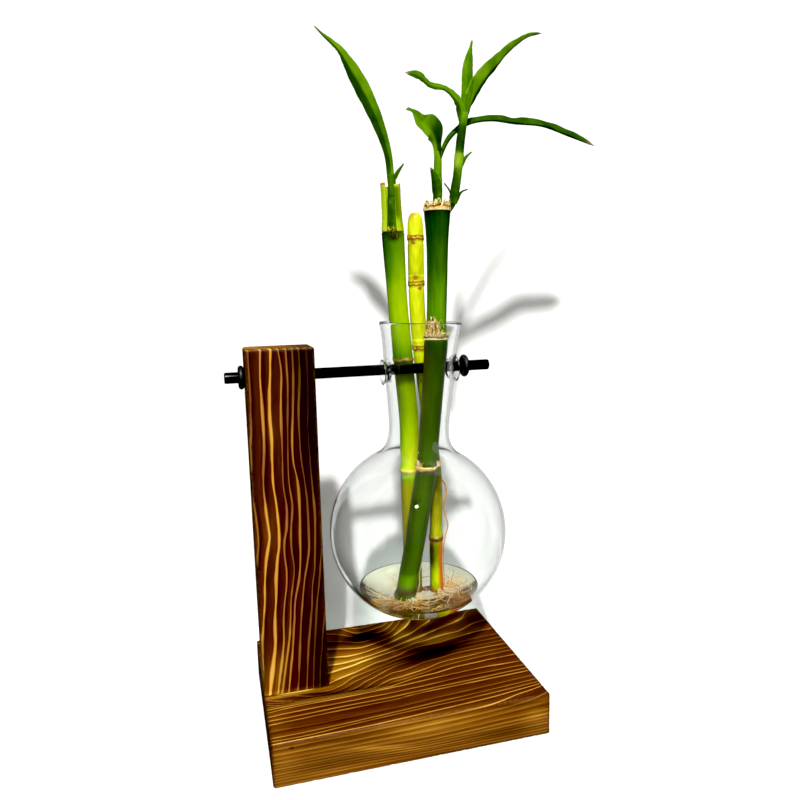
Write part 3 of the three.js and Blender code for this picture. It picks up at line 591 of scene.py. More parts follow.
def timber(name, shape, cutters, masks, material, node):
    """Welds and cuts a board, then works out its grain masks from where each vertex lies."""
    board = new_object(name, shape.points, shape.faces)
    weld(board)
    for cutter in cutters:
        cut(board, cutter)
    points = np.empty(len(board.data.vertices) * 3)
    board.data.vertices.foreach_get("co", points)
    dress(board, material, "stand", "wood", node, **masks(points.reshape(-1, 3) / MM))
    smooth_by_angle(board, degrees=35)


def edge_wear(p, centre, size, reach):
    """1 on a board's edges, falling to 0 a short way in."""
    gap = np.abs(np.array(size) / 2 - np.abs(p - np.array(centre)))
    two_nearest = np.sort(gap, axis=1)[:, :2].sum(1)
    return 1 - step_up(two_nearest, 0.2, reach)


def growth_rings(lines, along, across):
    """Which growth line each point is at, counted on from the first, and how many mm one line takes up.

    Each line is its strength and the [along, across] places it passes.
    """
    levels = np.stack([smooth_through(sorted(places))(along) for _, places in lines], 1)
    levels = np.maximum.accumulate(levels, axis=1) + 0.04 * np.arange(len(lines))
    row = np.arange(len(along))
    k = np.clip((levels < across[:, None]).sum(1) - 1, 0, len(lines) - 2)
    gaps = np.diff(levels, axis=1)
    gap = gaps[row, k]
    start = 2 * gap / (gap + gaps[row, np.maximum(k - 1, 0)])
    end = 2 * gap / (gap + gaps[row, np.minimum(k + 1, len(lines) - 2)])
    t = (across - levels[row, k]) / gap
    inside = np.clip(t, 0, 1)
    ring = k + start * inside + (3 - 2 * start - end) * inside ** 2 + (start + end - 2) * inside ** 3
    slope = start + 2 * (3 - 2 * start - end) * inside + 3 * (start + end - 2) * inside ** 2
    ring = ring + (t - inside) * np.where(t > 0, end, start)
    strengths = np.array([strength for strength, _ in lines], float)
    bright = np.interp(ring, np.arange(len(lines)), strengths)
    return ring, gap / np.maximum(slope, 0.2), bright


# The post's growth lines as seen on its front: [height, mm from its left edge]
POST_LINES = [
    (0.4, [[180, -4], [20, -6]]),
    (0.5, [[180, 1.2], [150, 1], [120, 0.2], [95, 1.2], [75, -1], [20, -3]]),
    (1.0, [[180, 6.5], [170, 6], [145, 6.2], [135, 6], [125, 5], [115, 5], [100, 6], [95, 6], [85, 4],
           [75, 3], [65, 2.5], [55, 1.5], [45, 0.5], [20, -1]]),
    (1.1, [[180, 11], [170, 10.5], [160, 9.5], [150, 9.2], [140, 9.5], [130, 9], [120, 9], [110, 10],
           [100, 10.5], [92, 10.2], [85, 9], [75, 8], [65, 7.5], [55, 6.5], [45, 6], [35, 4.5], [20, 2.5]]),
    (0.75, [[180, 14], [170, 15], [160, 14.5], [150, 14], [130, 13.5], [120, 13.5], [110, 14.5], [100, 14],
            [93, 12.5], [87, 12.2], [80, 12.8], [72, 12.5], [65, 11.5], [55, 10.5], [45, 10], [35, 8.5],
            [20, 6]]),
    (0.5, [[180, 17.2], [165, 17.5], [150, 16.7], [130, 16], [120, 16], [110, 17], [100, 16], [90, 15.5],
           [80, 16.2], [72, 15.2], [65, 14.2], [50, 13], [40, 11.5], [20, 8]]),
    (0.85, [[180, 20.2], [170, 20.2], [150, 19], [140, 18.2], [130, 18.2], [122, 19.5], [115, 20],
            [105, 20], [95, 19.5], [85, 19.2], [75, 18.2], [65, 16], [55, 15], [40, 13.5], [20, 11]]),
    (0.75, [[180, 22.8], [170, 22.8], [150, 21.5], [140, 21.5], [130, 21.8], [120, 22.8], [110, 23.5],
            [90, 23.2], [82, 22.2], [75, 20.8], [65, 19.5], [55, 18.2], [40, 17], [20, 15]]),
    (0.6, [[180, 26], [160, 26.2], [150, 25.5], [130, 25.5], [110, 26.5], [100, 26.5], [80, 25.5], [70, 24],
           [60, 23.2], [50, 22], [40, 20.8], [20, 19.2]]),
    (0.6, [[180, 31], [120, 30.5], [90, 29], [80, 28], [70, 27], [60, 25.5], [50, 24.5], [40, 23.5],
           [20, 22.2]]),
    (0.6, [[180, 35], [80, 32.5], [50, 28], [40, 27], [30, 26], [20, 25.5]]),
    (0.7, [[180, 39], [80, 37], [20, 30]]),
    (0.7, [[180, 43], [80, 40.5], [20, 34.5]]),
    (0.7, [[180, 47], [80, 45], [20, 39]]),
]


def post_masks(p):
    x, y, z = p.T
    across = x - (POST_X - POST_WIDTH / 2)
    deep = y + BOARD / 2
    ring, spacing, bright = growth_rings(POST_LINES, z, across + 0.5 * deep + 0.008 * deep ** 2)
    foot = 0.52 * (1 - step_up(z, 24, 48)) * (1 - step_up(across, 4, 13)) + 0.5 * (1 - step_up(z, 20.5, 23))
    bulges = 0.35 * hump(z, 98, 9) * hump(across, 6, 3) + 0.25 * hump(z, 36, 9) * hump(across, 8, 4)
    bulges = bulges + 0.4 * hump(z, 143, 9) * hump(across, 9.5, 1.6) + 0.08 * (1 - step_up(across, 10, 19))
    top = step_up(z, POST_TOP - 0.8, POST_TOP - 0.2)
    gold = 0.03 + 0.9 * foot + bulges + 0.6 * top
    wide = 0.27 + 0.3 * np.clip(gold - 0.1, 0, 1) + 0.24 * bright ** 2
    swelling = 1 + 0.4 * wobble(45, 26, z, 40 * np.round(ring))
    right = step_up(across, 13, 27)
    ends = step_up(z, 95, 165) + 0.6 * (1 - step_up(z, 40, 75))
    burnt = 0.5 * right * ends + 0.48 * right + 0.2 * (1 - step_up(across, 0, 3))
    left_end = 1 - step_up(across, 0.05, 0.6)
    return {
        "ring": ring + 20,
        "half": np.clip(wide * swelling / spacing, 0.02, 0.3),
        "bright": bright,
        "gold": np.clip(gold, 0, 1),
        "burnt": np.clip(burnt * (1 - top) + 0.25 * left_end + 0.5 * top * right, 0, 0.9),
        "worn": edge_wear(p, POST_CENTRE, POST_SIZE, reach=1.3) * (0.2 + 0.3 * top),
    }


# The base board's growth lines seen from above, back to front: [mm from its middle, mm back from it].
# Those past -46 are on its front, which carries the top on downwards.
BASE_LINES = [
    (1.0, [[-63, 30], [-33, 25.6], [-28.6, 24.8], [-21.4, 23.2], [-11.8, 21.2], [-7, 22], [1, 24.8],
           [7.4, 27.8], [12.2, 31.6], [17.8, 37.2], [21.8, 42.8], [24, 46], [30, 54], [63, 96]]),
    (1.0, [[-63, 18], [-29.4, 15.8], [-23, 15.2], [-18.2, 14.8], [-11, 15.8], [-5.4, 17.6], [1, 20],
           [7.4, 22.8], [11.4, 25], [16.2, 27.2], [21.8, 30.8], [26.6, 34.8], [31.4, 39.6], [37, 46],
           [63, 76]]),
    (1.0, [[-63, 9.5], [-29.8, 9], [-23, 8.8], [-15, 10.4], [-8.6, 12], [-3.8, 13.6], [3.4, 16], [9, 18.4],
           [13.8, 20.4], [21, 22.8], [27.4, 25.6], [35.4, 28.8], [43.4, 31.6], [49, 34.8], [53, 39.6],
           [57, 44.4], [63, 52]]),
    (0.9, [[-63, 1], [-31, 2], [-24.6, 3.6], [-18.2, 5.2], [-13.4, 7.2], [-7, 9.2], [1, 11.6], [9, 14],
           [17, 17.2], [23.4, 18.4], [29.8, 20.4], [36.2, 22], [43.4, 22.8], [49, 26], [53.8, 28.8],
           [63, 31]]),
    (0.8, [[-63, -8.5], [-45, -9.5], [-32.6, -7.2], [-28.6, -5.2], [-23, -2.8], [-18.2, -1.2], [-13.4, 1.2],
           [-7, 4], [-0.6, 6], [5, 8], [10.6, 10.8], [17, 12.8], [29.8, 14.4], [37, 16.4], [49, 18.8],
           [57, 20], [63, 21.2]]),
    (0.5, [[-63, -10.8], [-45, -11.8], [-33.4, -12.8], [-28.6, -11.2], [-24.6, -8.4], [-19.8, -5.2],
           [-15, -3.2], [-10.2, -1.2], [-3.8, 1.2], [2.6, 3.6], [9, 5.6], [17, 7.6], [30, 9.5], [45, 12],
           [63, 13.6]]),
    (0.5, [[-63, -11.6], [-50, -12.4], [-47, -13.2], [-43.8, -14.8], [-39, -15.8], [-33, -15.4],
           [-25.4, -12.8], [-21.4, -10], [-18.2, -8.4], [-11.8, -5.2], [-7, -2.8], [-0.6, -0.4], [5.8, 1.6],
           [17, 4], [30, 6.4], [45, 8.5], [63, 10.1]]),
    (0.6, [[-63, -12.2], [-61.4, -12.8], [-56.6, -14.8], [-51, -16.4], [-43.8, -17.1], [-34, -16.8],
           [-24.6, -15.6], [-19.8, -13.6], [-15.8, -10.8], [-11, -8.4], [-5.4, -5.2], [1, -2], [10, 0.8],
           [20, 2], [35, 4], [50, 5.4], [63, 6.5]]),
    (0.6, [[-63, -14.5], [-56, -16.3], [-44, -17.5], [-30, -17.3], [-19.8, -17], [-15, -14.8],
           [-11.8, -12.4], [-7, -10], [-2.2, -7.2], [4.2, -6], [10.6, -4.4], [17, -2], [25, -0.8],
           [33, 1.2], [49, 2.4], [63, 2.9]]),
    (0.65, [[-63, -15.8], [-58.2, -18], [-55, -18.4], [-44, -18], [-30, -17.8], [-13.4, -17.2],
            [-8.6, -14.8], [-3.8, -12.4], [1, -11.6], [7.4, -10], [13.8, -8.4], [21, -6], [27.4, -4.4],
            [37, -3.6], [49, -2], [63, -1]]),
    (0.4, [[-63, -18.4], [-44, -18.6], [-20, -18], [-8.6, -17.2], [-3.8, -15.2], [5, -13.6], [13, -11.6],
           [25, -8.4], [37, -6.4], [50, -5.2], [63, -4.4]]),
    (1.0, [[-63, -20], [-44, -19.4], [-20, -18.8], [-6, -18], [-0.6, -16.8], [5.8, -15.2], [12.2, -14],
           [18.6, -13.2], [25, -11.8], [31.4, -10.8], [41, -10], [49, -9.4], [63, -8.7]]),
    (0.85, [[-63, -22.4], [-55, -21.2], [-47, -20.8], [-31, -20.2], [-15, -19.8], [-7, -19.2], [1, -18.8],
            [9, -18], [20, -17], [41, -15.6], [63, -15.2]]),
    (0.75, [[-63, -25.6], [-55, -24.8], [-31, -24], [-7, -23.2], [1, -22.6], [9, -22], [30, -20.5],
            [63, -19]]),
    (0.75, [[-63, -28.4], [-47, -27.8], [-31, -27.2], [-7, -26.4], [5, -25.6], [30, -24], [63, -22]]),
    (0.65, [[-63, -31.2], [-47, -30.4], [-31, -29.6], [-7, -28.8], [5, -27.2], [30, -26], [63, -24.5]]),
    (0.25, [[-63, -36.4], [-31, -35.6], [-7, -34.8], [9, -33.2], [30, -31.5], [63, -29]]),
    (0.65, [[-63, -40.8], [-47, -40.4], [-31, -39.6], [-15, -38.4], [1, -37.2], [9, -36.4], [30, -35],
            [63, -32]]),
    (0.65, [[-63, -42.8], [-47, -42.8], [-31, -41.2], [-7, -39.6], [5, -38.8], [30, -37.5], [63, -34.4]]),
    (1.0, [[-63, -44.8], [-39, -44.4], [-23, -44], [-7, -43.2], [9, -42], [25, -40.8], [40, -39.5],
           [50, -38], [63, -36.2]]),
    (0.9, [[-63, -47.4], [-7, -46.8], [17, -46.2], [33, -45.2], [41, -43.6], [49, -41.2], [57, -39.6],
           [63, -38]]),
    (0.7, [[-63, -50], [0, -49.5], [40, -48], [55.4, -46], [63, -43.2]]),
    (0.3, [[-63, -52], [-20, -52], [20, -51.6], [63, -49]]),
    (0.8, [[-63, -53.6], [-25, -53.8], [0, -54.6], [20, -54], [63, -52.6]]),
    (0.5, [[-63, -55], [-25, -55], [0, -56.4], [20, -56], [63, -54.6]]),
    (0.8, [[-63, -56.4], [-25, -56.3], [0, -57.6], [20, -57.4], [63, -56.4]]),
    (0.4, [[-63, -57.4], [-25, -57.4], [0, -58.6], [20, -58.6], [63, -57.8]]),
    (0.9, [[-63, -58.6], [-25, -58.6], [0, -59.6], [20, -59.8], [63, -59.2]]),
    (0.4, [[-63, -59.6], [-25, -59.7], [0, -60.6], [20, -60.8], [63, -60.4]]),
    (0.8, [[-63, -60.8], [-25, -60.9], [0, -61.6], [20, -61.9], [63, -61.8]]),
    (0.5, [[-63, -62.2], [-25, -62.3], [0, -62.8], [20, -63.2], [63, -63.2]]),
    (0.6, [[-63, -63.8], [0, -64.2], [63, -64.8]]),
    (0.5, [[-63, -66], [0, -66.4], [63, -67]]),
]


def patch(x, y, centre, reach, turn=0.0):
    dx, dy = x - centre[0], y - centre[1]
    along = dx * np.cos(turn) + dy * np.sin(turn)
    side = dy * np.cos(turn) - dx * np.sin(turn)
    return np.exp(-(along / reach[0]) ** 2 - (side / reach[1]) ** 2)


TOP_GOLD = [
    (0.75, (-20, 10), (15, 13), 0.2), (0.55, (-27, -1), (9, 7), 0.4), (0.9, (14.5, 34), (12, 2.6), 0.93),
    (0.9, (13, 26), (6, 2.4), 0.5), (0.9, (19, 22), (9, 3), 0.42), (0.85, (31, 18.5), (12, 4.5), 0.3),
    (0.55, (47, 34), (13, 3), 0.6), (0.35, (31, 37), (11, 2.5), 0.8), (0.12, (-12, 41), (16, 5), 0),
    (0.75, (-48, -10.6), (18, 1.6), 0), (0.22, (-60, -34), (5, 14), 0), (0.35, (0, -45), (45, 2), 0.05),
    (0.25, (5, -12), (12, 3), 0.5), (0.3, (10, 38), (4, 8), 0),
]
# dark patches on the top, charred; the one at (21, 4) under the bulb is also a painted shadow of it
TOP_BURNT_AND_SHADOW = [
    (1.3, (-8, 31.5), (14, 6.5), 0), (1.4, (21, 4), (20, 6), 0.16), (0.5, (0, 10), (9, 4), 0.4),
    (0.75, (57, 33), (9, 9), 0.6), (0.75, (45, 39), (12, 2.6), 0.5), (0.7, (29, 31), (8, 3), 0.75),
    (0.95, (-30, -16.6), (28, 1.5), 0), (0.75, (-41, -13.4), (7, 1.3), -0.2),
    (0.25, (0, -33), (40, 3.5), 0.03),
    (0.3, (50, 10), (15, 6), 0.1), (0.5, (21, 40), (3.5, 6), 0.9), (0.35, (1, 22), (7, 2.5), 0.4),
]
FRONT_GOLD = [
    (0.35, (6, 5.2), (24, 4), 0), (0.3, (56, 10), (7, 8), 0), (0.5, (-17, 10.6), (15, 1.2), 0.19),
    (0.15, (-35, 18), (30, 2), 0), (0.2, (-58, 9), (6, 9), 0),
]
FRONT_BURNT = [
    (0.4, (-35, 12.6), (20, 1.8), 0.04), (0.5, (42, 15), (18, 2.4), 0.03),
    (0.6, (40, 1.8), (24, 0.7), 0.08),
    (1.0, (-54.7, 2.7), (0.9, 0.7), 0), (0.6, (30, 20), (38, 1.1), 0), (0.25, (-30, 4), (18, 2.5), 0.05),
]


def base_masks(p):
    x, y, z = p.T
    drop = BOARD - z
    ring, spacing, bright = growth_rings(
        [(strength, [[a, -b] for a, b in places]) for strength, places in BASE_LINES], x, drop - y)
    side = 1 - step_up(z, BOARD - 1.2, BOARD - 0.2)
    gold_top = 0.33 + sum(a * patch(x, y, *rest) for a, *rest in TOP_GOLD)
    burnt_and_shadow_top = sum(a * patch(x, y, *rest) for a, *rest in TOP_BURNT_AND_SHADOW)
    gold_side = 0.58 + sum(a * patch(x, drop, *rest) for a, *rest in FRONT_GOLD)
    burnt_side = sum(a * patch(x, drop, *rest) for a, *rest in FRONT_BURNT)
    ends = step_up(np.abs(x), 61.8, 62.8)
    gold = np.clip(gold_top * (1 - side) + gold_side * side - 0.3 * ends, 0, 1)
    return {
        "ring": ring + 60,
        "half": np.clip((0.2 + 0.36 * gold ** 2 + 0.08 * bright) / spacing, 0.02, 0.28),
        "bright": bright * (1 - 0.72 * side),
        "gold": gold,
        "burnt": np.clip(burnt_and_shadow_top * (1 - side) + burnt_side * side + 0.5 * ends, 0, 1.05),
        "worn": edge_wear(p, BASE_CENTRE, BASE_SIZE, reach=1.1) * 0.3,
    }


BASE_SIZE = (BASE_LENGTH, BASE_DEPTH, BOARD)
BASE_CENTRE = (0, 0, BOARD / 2)
POST_SIZE = (POST_WIDTH, BOARD, POST_TOP - BOARD)
POST_CENTRE = (POST_X, 0, (POST_TOP + BOARD) / 2)


def screw_hole(y):
    """A countersunk hole from below, a little wider than the screw's head."""
    head = SCREW_HEAD_RADIUS + FIT_GAP
    points, faces = turned([[head, -1], [head, 1.4], [2.2, 4], [2.2, 18]], sides=40, ends=True)
    return new_object("cutter", points + np.array([POST_X, y, 0]), faces)


def hole_along_x(radius, reach, x, z=ROD_Z):
    points, faces = turned([[radius, -reach], [radius, reach]], sides=64, ends=True)
    return new_object("cutter", along_x(points, x, z), faces)


timber("base_board_torched", board_mesh(BASE_SIZE, BASE_CENTRE, rounding=0.9, chipping=0.35, seed=41),
       [screw_hole(-SCREW_SPACING / 2), screw_hole(SCREW_SPACING / 2)], base_masks, base_pine, "base_board")
timber("post_torched", board_mesh(POST_SIZE, POST_CENTRE, rounding=1.0, chipping=0.3, seed=43),
       [hole_along_x(ROD_RADIUS + FIT_GAP, POST_WIDTH, POST_X)], post_masks, post_pine, "post")
for screw in (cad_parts["screw_front"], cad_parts["screw_back"]):
    for screw_slot in screw.material_slots:
        screw_slot.material = zinc


# Black rod and its rubber rings

def rod():
    length = ROD_RIGHT - ROD_LEFT
    end = [[ROD_RADIUS - ROD_EDGE + ROD_EDGE * np.sin(a), ROD_EDGE - ROD_EDGE * np.cos(a)]
           for a in np.linspace(0, np.pi / 2, 7)]
    end = [[ALMOST_CLOSED, 0], [0.9, 0]] + end
    bar = [[ROD_RADIUS, length * share] for share in np.linspace(0.05, 0.95, 9)]
    profile = end + bar + [[radius, length - height] for radius, height in end[::-1]]
    points, faces = turned(profile, sides=64, ends=True)
    shape = Shape(along_x(points, ROD_LEFT), faces)
    shape.finish("rod_enamelled", black_paint, "stand", "black_paint", "rod")


def rubber_ring(node, x):
    middle = ROD_RADIUS + FIT_GAP + RING_SECTION
    profile = [[middle + RING_SECTION * np.cos(a), RING_SECTION * np.sin(a)]
               for a in np.linspace(0, 2 * np.pi, 25)[:-1]]
    points, faces = turned(profile + profile[:1], sides=72)
    shape = Shape(along_x(points, x), faces)
    weld(shape.finish(node + "_moulded", black_rubber, "stand", "black_rubber", node))


rod()
rubber_ring("rubber_ring_left", RING_LEFT_X)
rubber_ring("rubber_ring_right", RING_RIGHT_X)


# Glass vase and water

def leaning(points):
    c, s = np.cos(VASE_LEAN), np.sin(VASE_LEAN)
    turn = np.array([[c, 0, s], [0, 1, 0], [-s, 0, c]])
    return np.asarray(points) @ turn.T + np.array([NECK_X, 0, ROD_Z])


def bezier(a, b, c, d, count):
    t = np.linspace(0, 1, count + 1)[1:, None]
    a, b, c, d = map(np.array, (a, b, c, d))
    return (1 - t) ** 3 * a + 3 * (1 - t) ** 2 * t * b + 3 * (1 - t) * t ** 2 * c + t ** 3 * d


def vase_profile(inset):
    """The vase's outline as [radius, height from the rod], from its floor to its rim."""
    bulb = BULB_RADIUS - inset
    shoulder = np.radians(61)
    angle = np.linspace(-np.pi / 2 + 0.004, shoulder, 70)
    ball = np.stack([bulb * np.cos(angle), bulb * np.sin(angle) - BULB_DROP], 1)
    waist = [WAIST_RADIUS - inset, -WAIST_DROP]
    neck = [NECK_RADIUS - inset, 0]
    rim = [RIM_RADIUS - inset, RIM_RISE - RIM_ROUND]
    return np.vstack([
        ball,
        bezier(ball[-1], ball[-1] + [-5.2, 2.9], [waist[0], waist[1] - 7], waist, count=18),
        bezier(waist, [waist[0] + 0.3, waist[1] + 9], [neck[0] - 0.9, -9], neck, count=18),
        bezier(neck, [neck[0] + 0.7, 7], [rim[0] - 1.8, RIM_RISE - 7], rim, count=18),
    ])


def glass_vase():
    outside, inside = vase_profile(0), vase_profile(GLASS_WALL)
    middle = RIM_RADIUS - GLASS_WALL / 2
    rim = [[middle + GLASS_WALL / 2 * np.cos(a), RIM_RISE - RIM_ROUND + RIM_ROUND * np.sin(a)]
           for a in np.linspace(0, np.pi, 9)[1:-1]]
    points, faces = turned(np.vstack([outside, rim, inside[::-1]]), sides=112, ends=True)
    wall = new_object("glass_vase_blown", leaning(points), faces)
    # each eye is a short spout of glass that flares to a fire-polished lip
    outer = [[4.75, -1.6], [4.7, -0.6], [4.75, 0.2], [4.95, 0.9], [5.35, 1.5], [5.8, 1.95], [6.02, 2.2]]
    lip = [[5.9, 2.32], [5.6, 2.38], [5.2, 2.32]]
    inner = [[4.85, 2.1], [4.4, 1.5], [4.1, 0.8], [3.95, 0], [3.8, -0.6], [3.8, -1.6]]
    for side in (-1, 1):
        points, faces = turned(outer + lip + inner + outer[:1], sides=72)
        eye = new_object("eye", along_x(points * [side, 1, side], NECK_X + side * EYE_OUT, EYE_Z), faces)
        weld(eye)
        cut(wall, eye, "UNION")
    cut(wall, hole_along_x(EYE_RADIUS, 30, NECK_X, EYE_Z))
    dress(wall, glass, "vase", "clear_glass", "glass_vase")
    smooth_by_angle(wall, degrees=50)


def pool():
    """The water, whose edge climbs a little where it wets the glass."""
    floor = BULB_BORE + WATER_INTO_GLASS
    edge = np.arcsin((BULB_Z - WATER_Z - WATER_CLIMB) / floor)
    bowl = [[floor * np.cos(a), BULB_Z - floor * np.sin(a)]
            for a in np.linspace(np.arccos(ALMOST_CLOSED / floor), edge, 40)]
    reach = bowl[-1][0]
    surface = [[r, WATER_Z + WATER_CLIMB * np.exp(-(reach - r) / 0.8)]
               for r in reach - np.geomspace(0.2, reach - ALMOST_CLOSED, 26)]
    points, faces = turned(bowl + surface, sides=96, ends=True)
    Shape(points + np.array([BULB_X, 0, 0]), faces).finish("water_pool", water, "vase", "water", "water")


glass_vase()
pool()


# Canes

CANE_SIDES = 56
CANE_STEP = 1.2
SCAR_REACH = 3.2
SCAR_ROWS = 27
MOTTLE_RADIUS = 14
LEFT_CANE = {
    "points": [
        [13.4, 4.7, 49.2], [13.6, 5.9, 100], [13.6, 6.5, 120], [13.5, 7.0, 142], [11.9, 7.7, 165],
        [9.9, 8.5, 198], [8.9, 9.2, 222], [8.7, 9.4, 230],
    ],
    "radii": [
        [49.2, 4.4], [80, 4.6], [115, 4.8], [125, 4.7], [165, 4.85], [172, 4.9], [200, 4.65], [230, 5.3],
    ],
    "scars": [116.5, 171],
}
MIDDLE_CANE = {
    "points": [
        [24.4, -0.1, 50.1], [24.4, 1.0, 72], [24.8, 1.7, 83], [25.5, 3.3, 113], [22.9, 4.9, 143],
        [20.9, 6.2, 164], [19.8, 6.4, 178], [18.8, 6.6, 199], [18.9, 6.9, 225], [18.9, 7.0, 238.8],
    ],
    "radii": [
        [50.1, 3.2], [53, 3.5], [60, 3.2], [70, 3.1], [81, 3.3], [90, 3.0], [113, 3.1], [165, 3.35],
        [177, 3.6], [205, 3.7], [225, 3.7], [234, 3.5], [237.5, 2.8], [238.8, 1.6],
    ],
    "scars": [82.5, 176.5, 206.5, 227.5],
}
FRONT_CANE = {
    "points": [
        [6.2, -3.5, 50.5], [8.4, -4.1, 66], [12.3, -4.7, 85], [15.7, -5.3, 104.7], [18.1, -5.8, 119.7],
        [19.9, -6.8, 142], [22.0, -8.0, 166.3], [23.1, -8.4, 181.5], [23.7, -9.0, 199], [24.0, -9.5, 216.5],
        [24.1, -10.1, 238.2],
    ],
    "radii": [
        [50.5, 4.7], [52.5, 5.4], [57, 5.5], [61.5, 4.8], [70, 4.7], [95, 5.0], [118, 5.0], [124, 4.75],
        [142, 4.8], [166, 4.9], [180, 5.3], [186, 4.6], [205, 4.6], [225, 5.0], [238.2, 6.0],
    ],
    "scars": [120, 182],
}


def cane_centre(cane):
    """The function that gives a cane's middle at any height."""
    x_at = smooth_through([[z, x] for x, _, z in cane["points"]])
    y_at = smooth_through([[z, y] for _, y, z in cane["points"]])
    return lambda z: np.stack([x_at(z), y_at(z), np.asarray(z, float)], -1)


def cane_radius(cane, z):
    swelling = sum(0.45 * np.exp(-((z - scar) / 0.9) ** 2) for scar in cane["scars"])
    return smooth_through(cane["radii"])(z) + swelling


left_centre, middle_centre, front_centre = map(cane_centre, (LEFT_CANE, MIDDLE_CANE, FRONT_CANE))


def beside_centre(centre, z, away, angle):
    """Points at a distance and an angle from a cane's centre at height z."""
    return centre(z) + np.stack([away * np.cos(angle), away * np.sin(angle), 0 * away], -1)


def turn_from(angle, degrees):
    """How far round an angle is from one in degrees, at most half a turn either way."""
    return np.angle(np.exp(1j * (angle - np.radians(degrees))))


def lit_side(angle, degrees):
    """1 on the side that faces this way, -1 on the far side."""
    return np.cos(angle - np.radians(degrees))


def strip_at(angle, degrees, wide):
    """1 along a line up the cane at this angle, fading over so many degrees."""
    return np.exp(-(np.degrees(turn_from(angle, degrees)) / wide) ** 2)


def mottle(seed, wavelength, angle, radius, height):
    """Seeded variation round a cane, with no step where its two sides meet."""
    return wobble(seed, wavelength, np.cos(angle) * radius, np.sin(angle) * radius, height)


def leaf_scar(z, around, scar, k, seed, ring_width, twin):
    """How far a scar stands out, how uneven it is, the groove under it and how corky it is.

    A twin scar is two thin rings.
    """
    level = scar + 0.35 * wobble(seed + k, 22, *around)
    ring = hump(z, level, ring_width)
    corky = 1.25 * ring - 0.2 + 0.25 * wobble(seed + k, 6, *around, z * 3)
    if twin:
        pair = hump(z, level - 0.8, 0.4) + hump(z, level + 0.75, 0.35)
        corky = 1.2 * pair + ring * step_up(wobble(seed + k, 5, *around, z * 2), -0.35, 0.35) - 0.12
        ring = ring * (1 - 0.55 * hump(z, level, ring_width * 0.3))
    uneven = 0.06 * ring * wobble(seed + 9 + k, 3, *around, z * 2)
    groove = 0.16 * hump(z, level - 2.1 * ring_width, ring_width * 0.7)
    return 0.42 * ring, uneven, groove, np.clip(corky, 0, 1)


def make_cane(node, cane, material, slot, looks, seed, ring_width=0.8, twin=False, patches=()):
    """A cane with its leaf scars as uneven raised rings.

    looks say how pale, how yellowed and how dark the rind is at a height and an angle.
    patches are corky spots: height, angle, half height and half width in mm.
    """
    low, high = cane["points"][0][2], cane["points"][-1][2]
    heights = np.arange(low, high, CANE_STEP)
    for scar in cane["scars"]:
        heights = heights[np.abs(heights - scar) > SCAR_REACH]
        heights = np.r_[heights, np.linspace(scar - SCAR_REACH, scar + SCAR_REACH, SCAR_ROWS)]
    heights = np.r_[np.sort(heights), high]
    angle = np.linspace(0, 2 * np.pi, CANE_SIDES, endpoint=False)
    z, a = np.meshgrid(heights, angle, indexing="ij")
    plain = smooth_through(cane["radii"])(z)
    around = MOTTLE_RADIUS * np.stack([np.cos(a), np.sin(a)])
    corky = 0 * z
    for k, scar in enumerate(cane["scars"]):
        ring, uneven, groove, scar_corky = leaf_scar(z, around, scar, k, seed, ring_width, twin)
        plain = plain + ring + uneven - groove
        corky = np.maximum(corky, scar_corky)
    for height, turn, tall, wide in patches:
        away = np.abs(turn_from(a, turn)) * plain
        spot = np.exp(-((z - height) / tall) ** 2 - (away / wide) ** 2)
        ragged = np.clip(1.5 * spot - 0.3 + 0.4 * wobble(seed, 4, *around, z * 3), 0, 1)
        corky = np.maximum(corky, ragged * (spot > 0.1))
        plain = plain + 0.15 * spot
    plain = plain * (1 + 0.012 * wobble(seed + 20, 40, *around, z * 0.35))
    centre = cane_centre(cane)
    points = beside_centre(centre, z, plain, a)
    tone, aged, stain = [look(z, a) for look in looks]
    shape = Shape()
    shape.add(points, grid_faces(len(heights), CANE_SIDES, True), tone=tone.ravel(), scar=corky.ravel(),
              aged=np.clip(aged, 0, 1).ravel(), stain=np.clip(stain, 0, 1).ravel())
    # cut foot and top, closed by shrinking rings
    for rim, height, step in ((points[0], low, -0.9), (points[-1], high, 0.15)):
        middle = centre(height)
        rings = [rim] + [middle + (rim - middle) * share + np.array([0, 0, step * (1 - share ** 2)])
                         for share in (0.93, 0.7, 0.35, 0.04)]
        faces = grid_faces(len(rings), CANE_SIDES, True)
        end = (len(rings) - 1) * CANE_SIDES
        faces.append(list(range(end, end + CANE_SIDES)))
        shape.add(np.array(rings), faces if step > 0 else [face[::-1] for face in faces],
                  tone=0.7, scar=np.r_[np.zeros(CANE_SIDES), np.full(4 * CANE_SIDES, 0.7)])
    shape.finish(node + "_rind", material, "vase", slot, node)


